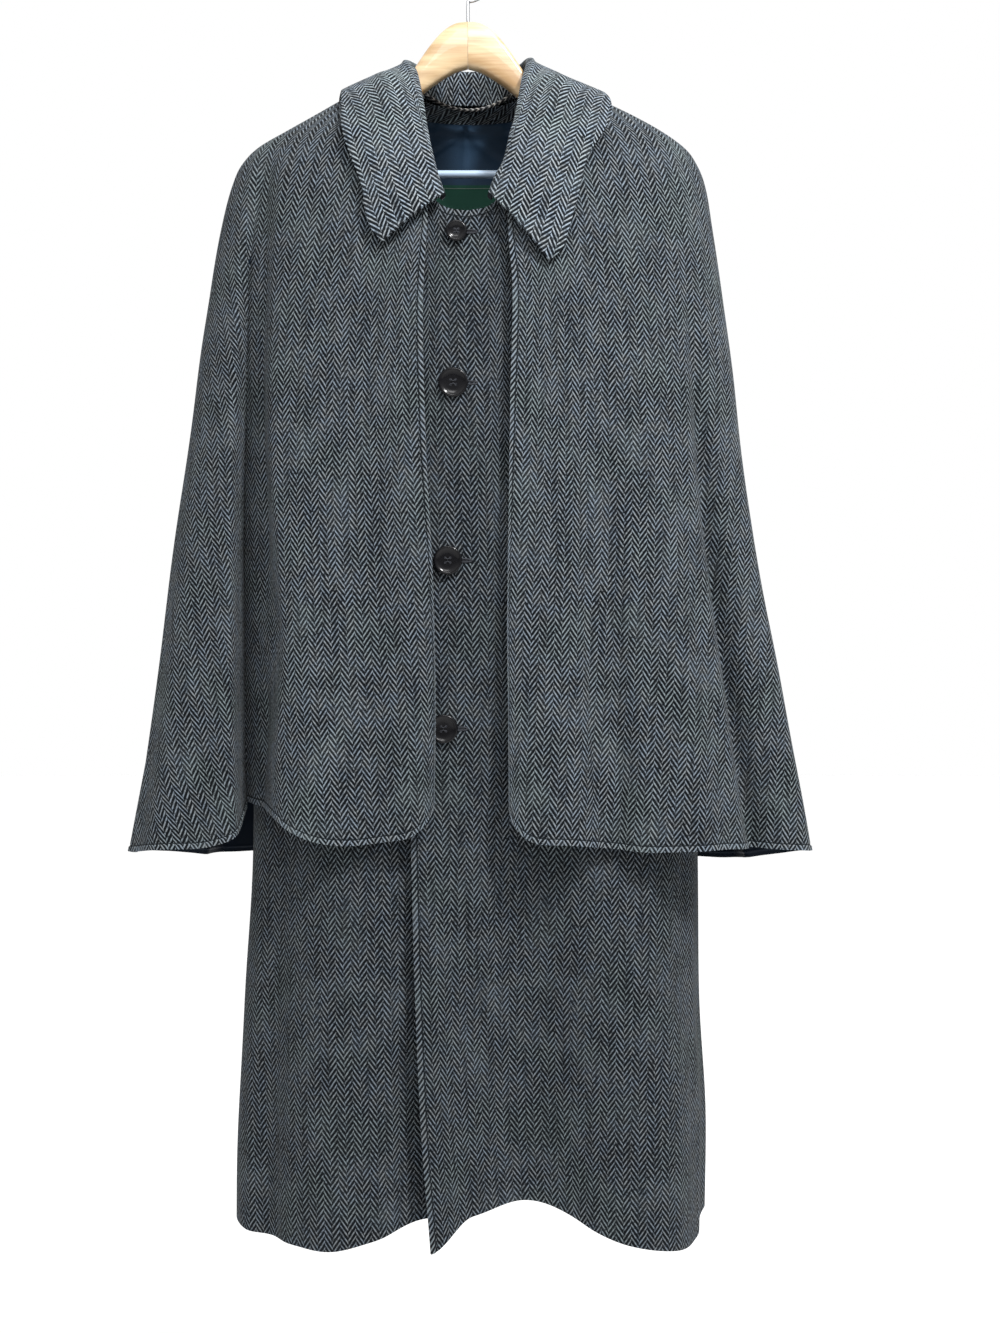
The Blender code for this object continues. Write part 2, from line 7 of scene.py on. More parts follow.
# %% Start
import bpy
import numpy as np
from numpy.linalg import norm
from math import cos, pi, radians, sin, tau
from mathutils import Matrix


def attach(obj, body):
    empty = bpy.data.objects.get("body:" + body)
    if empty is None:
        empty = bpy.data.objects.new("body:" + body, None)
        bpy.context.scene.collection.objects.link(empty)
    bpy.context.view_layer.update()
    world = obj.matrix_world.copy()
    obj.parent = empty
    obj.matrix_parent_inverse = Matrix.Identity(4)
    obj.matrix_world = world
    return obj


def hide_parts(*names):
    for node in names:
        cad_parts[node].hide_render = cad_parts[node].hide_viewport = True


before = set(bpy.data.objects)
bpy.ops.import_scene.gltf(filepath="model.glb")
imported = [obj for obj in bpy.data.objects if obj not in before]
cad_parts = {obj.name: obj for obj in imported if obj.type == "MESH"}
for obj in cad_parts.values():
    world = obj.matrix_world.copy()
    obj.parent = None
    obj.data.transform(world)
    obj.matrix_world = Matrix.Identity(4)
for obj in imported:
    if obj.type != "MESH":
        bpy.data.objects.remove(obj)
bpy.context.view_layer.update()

# %% [markdown]
# ## Camera, floor and light
# The picture was taken level with the middle of the coat, about a metre and a half away and a
# little towards the wearer's left. The camera stands there, so the front of the hem looks lower
# than its sides. A pale floor and a white room give soft light. One lamp shines from the upper
# right, and a weaker one from above the camera.

# %% Camera, floor and light
MM = 0.001
EYE = (0.032, -1.5, -0.7065)
LENS = 40.5


def added(name, data):
    """A new object in the scene."""
    made = bpy.data.objects.new(name, data)
    bpy.context.scene.collection.objects.link(made)
    return made


camera = added("camera", bpy.data.cameras.new("camera"))
camera.location = EYE
camera.rotation_euler = (pi / 2, 0, 0)
camera.data.lens = LENS
bpy.context.scene.camera = camera

# Lamps: name, place, tilt and turn in degrees, width, power.
LAMPS = [("key", (1.1, -1.5, 1.5), 44, 37, 0.3, 98), ("front", (0.1, -1.7, 0.9), 55, 0, 0.6, 14)]
for name, spot, tilt, turn, width, power in LAMPS:
    data = bpy.data.lights.new(name, "AREA")
    data.size = width
    data.energy = power
    made = added(name, data)
    made.location = spot
    made.rotation_euler = (radians(tilt), 0, radians(turn))

FLOOR_HEIGHT = -1.9
FLOOR_SIZE = 30
bpy.context.scene.view_settings.view_transform = "Standard"
bpy.ops.mesh.primitive_plane_add(size=FLOOR_SIZE, location=(0, 0, FLOOR_HEIGHT))
floor = bpy.context.object
floor.name = "floor"
print("camera", tuple(camera.location), "lens", LENS)

# %% [markdown]
# ## Materials
# The tweed is a herringbone: columns of slanting light lines on a dark navy ground, turned over
# at each column so that they make a zigzag down the cloth. The lines follow the cloth's own
# measure, kept in its UV map in metres. Wool is never one colour, so soft noise breaks the lines
# and shifts them between blue, green and brown. A finished edge is lighter, with a dark row of
# stitches behind it, and a second map gives each point's distance from it.

# %% Materials
# Weave, in metres: width of two columns, height of a line, its slope, how far it is broken
# where the columns meet, and the part of half a line at which it starts and is full.
REPEAT = 0.0152
PITCH = 0.0061
SLANT = 1.4
BREAK = 0.4
LINE_START, LINE_FULL = 0.25, 0.4
# Noise in the wool, its spots to a metre and its layers.
WANDER, FIBRE, YARN, SPECK, PATCH = (60, 2), (330, 3), (240, 2), (900, 2), (26, 3)
BLUE_TO_BROWN, GREENER = (85, 3), (17, 2)
# Width of a finished edge, and where its stitches run and how wide they are.
BORDER = 0.0052
STITCH_AT, STITCH_HALF = 0.0061, 0.0007
STITCH_COLOUR = (0.006, 0.008, 0.01)
# Tints of the wool: blue, brown and green.
TINTS = [(0.93, 0.99, 1.06), (1.04, 1.01, 0.97), (0.97, 1.04, 0.97)]


class Net:
    """Short way to add and join shader nodes in one tree."""

    def __init__(self, tree):
        self.tree = tree

    def node(self, kind, **facts):
        made = self.tree.nodes.new(kind)
        for name, value in facts.items():
            setattr(made, name, value)
        return made

    def put(self, socket, value):
        if hasattr(value, "links"):
            self.tree.links.new(value, socket)
        else:
            socket.default_value = value

    def fill(self, made, values):
        for name, value in values.items():
            self.put(made.inputs[name], value)

    def maths(self, kind, a, b=0.0, c=0.0):
        made = self.node("ShaderNodeMath", operation=kind)
        self.fill(made, {0: a, 1: b, 2: c})
        return made.outputs[0]

    def scaled(self, a, by, more):
        return self.maths("MULTIPLY_ADD", a, by, more)

    def mix(self, factor, a, b, **facts):
        made = self.node("ShaderNodeMix", data_type="RGBA", **facts)
        a, b = ((*c, 1) if isinstance(c, tuple) else c for c in (a, b))
        self.fill(made, {0: factor, 6: a, 7: b})
        return made.outputs[2]

    def noise(self, vector, scale, detail=2.0):
        made = self.node("ShaderNodeTexNoise")
        self.fill(made, {"Vector": vector, "Scale": scale, "Detail": detail})
        return made.outputs["Fac"]


def group(name, wanted, given):
    """An empty node group with named inputs and outputs, and its two end nodes."""
    tree = bpy.data.node_groups.new(name, "ShaderNodeTree")
    for title, kind in wanted:
        tree.interface.new_socket(title, in_out="INPUT", socket_type=kind)
    for title, kind in given:
        tree.interface.new_socket(title, in_out="OUTPUT", socket_type=kind)
    return tree, tree.nodes.new("NodeGroupInput"), tree.nodes.new("NodeGroupOutput")


def herringbone():
    """Colour and height of the weave at a place on the cloth, as a node group."""
    tree, start, end = group(
        "herringbone",
        [("Place", "NodeSocketVector"), ("Light", "NodeSocketColor"), ("Dark", "NodeSocketColor"),
         ("Border", "NodeSocketFloat")],
        [("Color", "NodeSocketColor"), ("Height", "NodeSocketFloat")])
    net = Net(tree)
    spot = start.outputs["Place"]
    place = net.node("ShaderNodeSeparateXYZ")
    net.fill(place, {0: spot})
    across, down = place.outputs[0], place.outputs[1]
    wander = net.maths("SUBTRACT", net.noise(spot, *WANDER), 0.5)
    down = net.scaled(wander, 0.0016, down)
    column = net.maths("DIVIDE", across, REPEAT)
    zigzag = net.maths("PINGPONG", column, 0.5)
    phase = net.scaled(zigzag, REPEAT * SLANT / PITCH, net.maths("DIVIDE", down, PITCH))
    turned = net.maths("GREATER_THAN", net.maths("FRACT", column), 0.5)
    phase = net.scaled(turned, BREAK, phase)
    line = net.node("ShaderNodeMapRange", interpolation_type="SMOOTHSTEP")
    net.fill(line, {"Value": net.maths("PINGPONG", phase, 0.5),
                    "From Min": LINE_START, "From Max": LINE_FULL})
    # Loose fibres and yarns break the lines.
    stretch = net.node("ShaderNodeMapping")
    net.fill(stretch, {"Vector": spot, "Scale": (1, 0.06, 1)})
    yarn = net.scaled(net.noise(stretch.outputs[0], *YARN), 1.7, 0.05)
    fibre = net.scaled(net.noise(spot, *FIBRE), 3.6, -0.9)
    fibre = net.maths("MULTIPLY", fibre, yarn)
    strength = net.maths("MULTIPLY", line.outputs[0], fibre)
    for noise, much in ((PATCH, 0.42), (SPECK, 0.5)):
        off = net.maths("SUBTRACT", net.noise(spot, *noise), 0.5)
        strength = net.scaled(off, much, strength)
    rim = net.scaled(start.outputs["Border"], 1.5, 1.0)
    strength = net.maths("MULTIPLY", strength, rim)
    browner = net.scaled(net.noise(spot, *BLUE_TO_BROWN), 5.0, -2.0)
    greener = net.scaled(net.noise(spot, *GREENER), 4.0, -1.9)
    tint = net.mix(greener, net.mix(browner, TINTS[0], TINTS[1]), TINTS[2])
    colour = net.mix(strength, start.outputs["Dark"], start.outputs["Light"])
    net.fill(end, {"Color": net.mix(1.0, colour, tint, blend_type="MULTIPLY"),
                   "Height": net.scaled(fibre, 0.5, line.outputs[0])})
    return tree


def material(name):
    """A new material, its nodes and its shader."""
    made = bpy.data.materials.new(name)
    made.use_nodes = True
    return made, Net(made.node_tree), made.node_tree.nodes["Principled BSDF"]


def rough_up(net, shader, height, strength, distance):
    """Low relief on a material from a height."""
    bump = net.node("ShaderNodeBump")
    net.fill(bump, {"Strength": strength, "Distance": distance, "Height": height})
    net.fill(shader, {"Normal": bump.outputs[0]})


def tweed(name, light, dark, border=False):
    """Tweed of two colours, with finished edges if it has a border."""
    made, net, shader = material(name)
    weave = net.node("ShaderNodeGroup", node_tree=WEAVE)
    place = net.node("ShaderNodeUVMap", uv_map="cloth")
    net.fill(weave, {"Place": place.outputs[0], "Light": (*light, 1), "Dark": (*dark, 1)})
    colour = weave.outputs["Color"]
    if border:
        parts = net.node("ShaderNodeSeparateXYZ")
        net.fill(parts, {0: net.node("ShaderNodeUVMap", uv_map="border").outputs[0]})
        net.fill(weave, {"Border": net.maths("LESS_THAN", parts.outputs[0], BORDER)})
        stitch = net.maths("COMPARE", parts.outputs[0], STITCH_AT, STITCH_HALF)
        colour = net.mix(net.maths("MULTIPLY", stitch, 0.85), colour, STITCH_COLOUR)
    net.fill(shader, {"Base Color": colour, "Roughness": 0.95, "Sheen Weight": 0.03,
                      "Sheen Roughness": 0.5, "Specular IOR Level": 0.08})
    rough_up(net, shader, weave.outputs["Height"], 0.5, 0.0006)
    return made


def plain(name, colour, rough, metal=0.0, grain=0.1, scale=900.0, shine=0.5):
    """A smooth material with a little grain in its colour and height."""
    made, net, shader = material(name)
    found = net.noise(net.node("ShaderNodeTexCoord").outputs["Object"], scale, 3)
    darker, lighter = (tuple(c * (1 + by) for c in colour) for by in (-grain, grain))
    net.fill(shader, {"Base Color": net.mix(found, darker, lighter), "Roughness": rough,
                      "Metallic": metal, "Specular IOR Level": shine})
    rough_up(net, shader, found, 0.2, 0.0003)
    return made


def wood(name, light, dark, slope):
    """Lacquered wood whose grain runs down along the arm."""
    made, net, shader = material(name)
    place = net.node("ShaderNodeTexCoord")
    turn = net.node("ShaderNodeMapping")
    net.fill(turn, {"Vector": place.outputs["Object"], "Rotation": (0, slope, 0),
                    "Scale": (6, 60, 90)})
    rings = net.noise(turn.outputs[0], 1.3, 3)
    lines = net.noise(turn.outputs[0], 7, 2)
    both = net.scaled(lines, 0.6, net.scaled(rings, 3.6, -1.6))
    net.fill(shader, {"Base Color": net.mix(both, dark, light), "Roughness": 0.38,
                      "Coat Weight": 0.25})
    return made


def room():
    """A white room that is brighter overhead, so that hems and folds shade what is below."""
    world = bpy.data.worlds.new("room")
    world.use_nodes = True
    net = Net(world.node_tree)
    way = net.node("ShaderNodeSeparateXYZ")
    net.fill(way, {0: net.node("ShaderNodeTexCoord").outputs["Generated"]})
    height = net.maths("MAXIMUM", way.outputs[2], 0.0)
    glow = net.scaled(height, OVERHEAD - AROUND, AROUND)
    seen = net.node("ShaderNodeLightPath").outputs["Is Camera Ray"]
    net.fill(world.node_tree.nodes["Background"],
             {"Color": (1, 1, 1, 1), "Strength": net.maths("MAXIMUM", glow, seen)})
    bpy.context.scene.world = world


# Light of the room straight overhead and level with the floor.
OVERHEAD = 1.6
AROUND = 0.12
room()
WEAVE = herringbone()
LIGHT, DARK = (0.170, 0.193, 0.214), (0.0025, 0.0034, 0.0048)
# The coat's tweed is the cape's drawn darker, as painted shade where less light reaches the coat lower
# down.
COAT_PAINTED_SHADE_SHARE, COLLAR_PAINTED_LIGHT_SHARE, COLLAR_DARK_PAINTED_LIGHT_SHARE = 0.78, 1.5, 1.4
COAT_LIGHT_PAINTED_SHADE = tuple(c * COAT_PAINTED_SHADE_SHARE for c in LIGHT)
CAPE_TWEED = tweed("cape tweed", LIGHT, DARK, True)
COAT_TWEED_PAINTED_SHADE = tweed("coat tweed painted shade", COAT_LIGHT_PAINTED_SHADE, DARK, True)
BACK_TWEED_PAINTED_SHADE = tweed("back tweed painted shade", COAT_LIGHT_PAINTED_SHADE, DARK)
# The collar's tweed is the cape's drawn lighter, as painted light where the collar faces the light; the
# neck facing uses it too.
COLLAR_TWEED_PAINTED_LIGHT = tweed("collar tweed painted light", tuple(c * COLLAR_PAINTED_LIGHT_SHARE for c in LIGHT),
                     tuple(c * COLLAR_DARK_PAINTED_LIGHT_SHARE for c in DARK))
LOOP_TWEED = tweed("loop tweed", (0.42, 0.4, 0.38), (0.02, 0.02, 0.022))
LINING = plain("lining", (0.02, 0.047, 0.088), 0.5, grain=0.2, shine=0.2)
# The cape's lining is the navy lining drawn near black, as painted shade inside the cape.
CAPE_LINING_PAINTED_SHADE = plain("cape lining painted shade", (0.004, 0.008, 0.015), 0.6, grain=0.2, shine=0.1)
LABEL = plain("label", (0.014, 0.075, 0.05), 0.7, grain=0.35, scale=2600, shine=0.2)
LABEL_LINE = plain("label line", (0.16, 0.24, 0.2), 0.7, grain=0.3, scale=2600)
HORN = plain("horn", (0.004, 0.004, 0.005), 0.2, grain=0.5, scale=260, shine=0.22)
THREAD = plain("thread", (0.012, 0.014, 0.02), 0.8, grain=0.5, scale=2400)
BAR = plain("bar", (0.36, 0.47, 0.6), 0.3, grain=0.06, scale=90)
STEEL = plain("steel", (0.55, 0.56, 0.58), 0.22, 1.0, grain=0.08, scale=1400)
WOOD_RIGHT = wood("wood right", (0.62, 0.46, 0.27), (0.4, 0.26, 0.13), 0.95)
WOOD_LEFT = wood("wood left", (0.66, 0.5, 0.3), (0.4, 0.25, 0.12), -0.95)
FLOOR = plain("pale floor", (0.92, 0.92, 0.92), 0.9, grain=0.01, scale=30)
floor.data.materials.append(FLOOR)
print("materials", len(bpy.data.materials))

# %% [markdown]
# ## Form of the coat and cape
# A maker drafts the coat flat, but hung on a hanger each height is a rounded section with folds
# running down it. The sections and folds below are those of the solids, so the fine shells lie
# on them: width and depth by height, then a row for each fold.

# %% Sections and folds
# Cloths in millimetres, the room between them, and how far the right front goes in under.
CLOTH = 2.4
COLLAR_CLOTH = 3.0
COLLAR_ROOM = 1.1
CAPE_ROOM = 2.0
CAPE_ROOM_BELOW = 6.0
INSIDE_ROOM = 1.5
GAP = 0.3
UNDERLAP = 3.4
# Side seams, in degrees from the centre front, and half the slit at a sewn seam.
SEAM_ANGLE = 97.0
COAT_SEAM = 92.0
SEAM_HALF = 0.02

# Coat body, a row per height: depth below the hook, half widths, front and back depth.
COAT = [
    (118, 68, 68, 46, 57), (127, 81, 83, 51.5, 67), (137, 99, 104, 57, 75),
    (148, 120, 127, 62.5, 80), (165, 150, 163, 69, 87), (180, 177, 190, 74, 91),
    (195, 203, 209, 78, 94), (210, 217, 220, 81, 96), (225, 221, 224, 83, 97),
    (270, 222, 226, 86.5, 98), (360, 221, 227, 90, 97), (540, 218, 228, 92, 94),
    (720, 215, 230, 93, 92), (900, 215, 231, 94, 92), (1040, 223, 233, 96, 94),
    (1160, 230, 240, 98, 97), (1270, 231, 238, 100, 100),
]
# Cape, the same columns.
CAPE = [
    (118, 77, 77, 52, 64), (127, 91, 93, 58, 74), (137, 109, 114, 64, 82), (148, 130, 137, 70, 88),
    (165, 160, 173, 77, 95), (180, 187, 200, 82, 100), (195, 213, 220, 86, 104),
    (210, 227, 230, 89, 106), (225, 234, 236, 91, 108), (270, 246, 244, 95, 111),
    (360, 261, 257, 99, 115), (540, 287, 279, 102, 119), (720, 313, 310, 105, 124),
    (900, 342, 344, 109, 131),
]
# Neck seam and hems: angle from the centre front, depth below the hook.
NECK = [(0, 277), (6, 271), (12, 246), (20, 208), (30, 178), (45, 151), (60, 136),
        (75, 127), (90, 124), (180, 125)]
COAT_HEM = [(-180, 1243), (-120, 1250), (-90, 1252), (-65, 1257), (-43, 1256), (-32, 1256),
            (-22, 1246), (-12, 1233), (4, 1228), (14, 1221), (20, 1223), (26, 1231), (32, 1244),
            (39, 1254), (51, 1262), (62, 1266), (71, 1264), (90, 1246), (120, 1250), (180, 1243)]
OVER_EDGE_HEM = 26
CAPE_HEM = [(-180, 906), (-130, 902), (-100, 893), (-80, 890), (-60, 882), (-46, 876),
            (-41, 864), (-38, 840), (-35, 842), (-31, 858), (-22, 874), (-12, 869), (-4, 862),
            (4, 866), (10, 871), (17, 873), (24, 878), (30, 881), (45, 880), (60, 883),
            (90, 890), (100, 893), (130, 908), (180, 906)]
# Front edges: depth below the hook, distance from the centre.
CAPE_EDGE_RIGHT = [(240, -35), (287, -36.1), (365, -39.8), (495, -37), (645, -29.6),
                   (741, -27.7), (833, -28.6), (900, -28.6)]
CAPE_EDGE_LEFT = [(240, 38), (311, 40.4), (345, 43.2), (455, 41.3), (579, 39.5), (663, 38.5),
                  (756, 39.5), (900, 40.4)]
COAT_EDGE_LEFT = [(240, -50), (870, -51.5), (1018, -47.5), (1159, -40.9), (1249, -33.5),
                  (1270, -32)]
COAT_EDGE_RIGHT = [(240, 17), (1270, 17)]
# Folds of the cape: angle at start and hem, half widths there, start and full depth,
# how far in the fold goes at the hem, and how far it leans outwards.
CAPE_FOLDS = [
    (-57, -38, 8.5, 5.5, 190, 800, 50, 26), (-36, -27, 10, 9, 400, 880, -9, 0),
    (-15, -17, 9, 8, 330, 880, 6, 0), (-70, -60, 14, 12, 300, 880, -9, 0),
    (-96, -84, 12, 10, 300, 880, 10, 0), (29, 25, 5.5, 6.5, 250, 800, 15, 0),
    (16, 14, 7, 7, 420, 880, -6, 0), (57, 57.5, 6.5, 7.5, 250, 800, 17, 0),
    (42, 41, 9, 8, 330, 880, -9, 0), (76, 73, 12, 10, 300, 880, -10, 0),
    (98, 90, 10, 9, 300, 880, 10, 0), (-128, -122, 12, 9, 260, 880, 22, 4),
    (-148, -142, 13, 11, 300, 880, -12, 0), (-166, -162, 10, 9, 240, 880, 18, 0),
    (178, 176, 10, 9, 300, 880, -11, 0), (158, 156, 11, 9, 250, 880, 20, 0),
    (140, 138, 11, 10, 300, 880, -12, 0), (122, 118, 12, 9, 280, 880, 19, 4),
]
COAT_FOLDS = [
    (12, 14, 22, 26, 560, 1250, 42, 0), (48, 52, 18, 20, 620, 1250, -15, 0),
    (-40, -36, 18, 20, 620, 1250, -9, 0), (-58, -58, 12, 12, 760, 1250, 8, 0),
    (82, 82, 13, 12, 700, 1250, 6, 0), (-112, -112, 14, 14, 500, 1250, 14, 0),
    (-136, -136, 15, 14, 500, 1250, -12, 0), (-163, -163, 15, 15, 450, 1250, 19, 0),
    (172, 172, 14, 14, 500, 1250, -11, 0), (148, 148, 15, 15, 460, 1250, 18, 0),
    (120, 120, 15, 14, 560, 1250, -10, 0),
]
UNDER_FOLD = (-10, -10, 11, 12, 560, 1250, 20, 0)
# Narrow creases down the middle of the deeper folds, the same columns.
CREASES = [
    (-57, -38, 5, 3.4, 260, 640, 12, 2), (29, 25, 3.4, 3.4, 250, 700, 7, 0),
    (57, 57.5, 4, 4, 250, 700, 9, 0), (-128, -122, 4, 3, 260, 880, 6, 0),
    (-166, -162, 4, 3, 240, 880, 5, 0), (158, 156, 4, 3, 250, 880, 6, 0),
    (122, 118, 4, 3, 280, 880, 6, 0),
]
CAPE_FOLDS += CREASES
# Depth at which the cape's columns are spaced. The deep fold of its right front, its place in
# degrees and its depths, and how far the rounded front corners reach and rise.
CAPE_MIDDLE = 800.0
VALLEY_START, VALLEY_END = -57.0, -38.0
VALLEY_TOP, VALLEY_RUN = 215, 605
CORNER_REACH, CORNER_RISE = 30, 34
ARMHOLE_TOP = 206.0
ARMHOLE_BOTTOM = 475.0
ARMHOLE_ANGLE = 36.0
# Dents of the cloth: height in millimetres, then two waves: radians a metre along x, z and y,
# and where the wave starts.
DENTS = [(0.9, (21, 8, 9, 0), (-6, 12, 0, 1.3)), (0.5, (43, -11, 0, 2), (9, 25, 0, 0))]
DENTS_TOP, DENTS_RUN = 330, 120
COAT_DENTS = 0.7
# Relief of a finished edge and of a seam, in millimetres: heights, then places and widths.
EDGE_HIGH, EDGE_END, EDGE_SOFT = 0.9, 4.2, 1.4
STITCH_DIP, STITCH_PLACE, STITCH_WIDE = 0.4, 6.1, 0.8
SEAM_DIP, SEAM_WIDE = 0.7, 2.5
# Collar, a row per station: roll line x, y, depth; outer edge angle and depth; roll radius;
# angle at which it is sewn to the neck.
LEAF_RIGHT = [
    (-21.5, -94, 265, -17.5, 309, 4.4, -5.5), (-26, -93.5, 251, -19.0, 307, 4.5, -8.5),
    (-34, -88, 224, -21.8, 281, 4.6, -13), (-41, -80, 197, -24.6, 244, 4.7, -19),
    (-47.7, -61, 161, -36, 186, 4.7, -28), (-56, -30, 121, -60, 152, 4.8, -52),
    (-63, 0, 101, -90, 145, 5, -90), (-48, 41, 92, -128, 158, 5, -140),
]
LEAF_LEFT = [
    (22.7, -94, 266, 17.8, 327, 4.4, 5.5), (28, -93.5, 257, 20.2, 320, 4.5, 9),
    (38, -90, 234, 24.7, 270, 4.6, 13), (45.5, -83, 208, 29.4, 221, 4.7, 18.6),
    (53, -67, 176, 43, 180, 4.7, 27), (60, -32, 128, 63, 153, 4.8, 50), (64, 0, 99, 90, 144, 5, 90),
    (49, 41, 92, 128, 158, 5, 140),
]
BACK_ROLL = (0, 66, 88, -180, 186, 5, -180)
# Buttons: across, depth below the hook, radius.
BUTTONS = [(-9, 297, 10), (-12, 440, 14), (-17, 607, 13.6), (-21, 765, 13.6)]
# Hanger arm: across, depth of its top, height, half thickness.
ARM = [(0, 62.5, 46, 8), (13, 64.5, 48, 8), (26, 73, 47, 8), (39, 88, 41, 8), (50, 104, 34, 8),
       (56, 113, 30, 8), (62, 120, 27, 8), (75, 129, 24, 8), (90, 135.2, 22, 9),
       (128, 157.9, 21, 11), (160, 176.9, 20, 13), (188, 192.9, 20, 14.5), (204, 204.9, 17, 14)]


def along(table, column, at):
    """Smooth curve through one column of a table."""
    keys = np.array([row[0] for row in table], float)
    values = np.array([row[column] for row in table], float)
    slopes = np.diff(values) / np.diff(keys)
    tangent = np.concatenate([slopes[:1], (slopes[1:] + slopes[:-1]) / 2, slopes[-1:]])
    at = np.clip(np.asarray(at, float), keys[0], keys[-1])
    i = np.clip(np.searchsorted(keys, at, side="right") - 1, 0, len(keys) - 2)
    step = keys[i + 1] - keys[i]
    t = (at - keys[i]) / step
    return (values[i] * (1 + 2 * t) * (1 - t) ** 2 + tangent[i] * step * t * (1 - t) ** 2
            + values[i + 1] * t * t * (3 - 2 * t) + tangent[i + 1] * step * t * t * (t - 1))


def ease(t):
    t = np.clip(t, 0, 1)
    return t * t * (3 - 2 * t)


def wrapped(angle):
    """The same angle from half a turn back to half a turn on."""
    return (angle + pi) % tau - pi


def widths(form, angle, depth):
    """Half widths of a form, across and front to back, at an angle and a depth."""
    across = np.where(np.sin(angle) < 0, along(form, 1, depth), along(form, 2, depth))
    deep = np.where(np.cos(angle) > 0, along(form, 3, depth), along(form, 4, depth))
    return across, deep


def surface(form, folds, angle, depth, inset=0.0):
    """Points of a hanging cloth at an angle round the body and a depth below the hook."""
    angle = np.asarray(angle, float)
    depth = np.asarray(depth, float) + 0 * angle
    across, deep = widths(form, angle, depth)
    x, y = across * np.sin(angle), -deep * np.cos(angle)
    nx, ny = np.sin(angle) / across, -np.cos(angle) / deep
    size = np.hypot(nx, ny)
    nx, ny = nx / size, ny / size
    inward, lean = inset + 0 * angle, 0 * angle
    for start_at, end_at, start_width, end_width, top, full, into, leaning in folds:
        share = np.clip((depth - top) / (full - top), 0, 1.1)
        centre = np.radians(start_at + (end_at - start_at) * share)
        half = np.radians(start_width + (end_width - start_width) * share)
        away = wrapped(angle - centre)
        bell = np.where(abs(away) < half, 0.5 + 0.5 * np.cos(pi * away / half), 0)
        grow = share * (2 - share) if leaning else ease(share)
        inward = inward + into * grow * bell
        lean = lean + np.sign(start_at) * leaning * grow * bell
    x = x - inward * nx - lean * ny
    y = y - inward * ny + lean * nx
    return np.stack([x, y, -depth], -1)


def keep_out(points, room):
    """Moves points of the cape out to a clear distance from the coat's body."""
    x, y, depth = points[..., 0], points[..., 1], -points[..., 2]
    angle = np.arctan2(x / 222, -y / 95)
    across, deep = widths(COAT, angle, depth)
    far = np.hypot(x / across, y / deep)
    nx, ny = x / across ** 2, y / deep ** 2
    size = np.hypot(nx, ny)
    away = (far - 1) * np.hypot(x, y) / np.maximum(far, 1e-6) * 0.8
    push = np.clip(room - away, 0, None)
    out = points.copy()
    out[..., 0] += push * nx / size
    out[..., 1] += push * ny / size
    return out


def neck_at(angle):
    """Depth of the neck seam at an angle."""
    return along(NECK, 1, np.degrees(abs(angle)))


def edge_angle(form, table, depth):
    """Angle of a front edge, given by its distance from the centre."""
    x = along(table, 1, depth)
    across = np.where(x < 0, along(form, 1, depth), along(form, 2, depth))
    return np.arcsin(x / across)


def steps(points, axis=0):
    """Lengths from each point to the next one."""
    return norm(np.diff(points, axis=axis), axis=-1)


def spaced(points, count):
    """Shares of a line at which equal lengths of it end."""
    length = np.concatenate([[0], np.cumsum(steps(points))])
    return np.interp(np.linspace(0, length[-1], count + 1), length,
                     np.linspace(0, 1, len(points)))


def normals(grid):
    normal = np.cross(np.gradient(grid, axis=0), np.gradient(grid, axis=1))
    return normal / (norm(normal, axis=-1, keepdims=True) + 1e-12)


def inside_of(grid, by):
    """The grid moved in from a body's outer face, towards its middle."""
    out = normals(grid)
    if (out[:, :, :2] * grid[:, :, :2]).sum() < 0:
        out = -out
    return grid - out * by


def loft(name, grid, thick, outer, inner, spare=1, relief=None, edge_last=False, border=""):
    """A closed cloth from a grid in millimetres, with its UV map in metres of real cloth.

    Border names the finished edges, and gives a second map of the distance to the nearest one.
    """
    grid = grid * MM
    relief = np.zeros(grid.shape[:2]) if relief is None else relief
    turned_over = (normals(grid)[:, :, :2] * grid[:, :, :2]).sum() < 0
    if turned_over:
        grid, relief = grid[:, ::-1], relief[:, ::-1]
    out = normals(grid)
    grid = grid + out * relief[..., None] * MM
    back = grid - out * thick * MM
    if spare:
        grid, back = grid[:, spare:-spare], back[:, spare:-spare]
    rows, columns = grid.shape[:2]
    across, down = steps(grid, 1), steps(grid)
    u = np.concatenate([np.zeros((rows, 1)), np.cumsum(across, axis=1)], axis=1)
    if turned_over != edge_last:
        u = u[:, -1:] - u
    v = np.concatenate([np.zeros((1, columns)), np.cumsum(down, axis=0)], axis=0)
    edges = {"front": u, "hem": v[-1:] - v, "neck": v}
    far = np.min([edges[edge] for edge in border.split()], axis=0) if border else None
    print(name, "widest", round(across.sum(1).max(), 3), "longest", round(down.sum(0).max(), 3))
    v = v - v[-1:] - grid[-1:, :, 2]
    return finish_loft(name, grid, back, u, v, outer, inner, far)


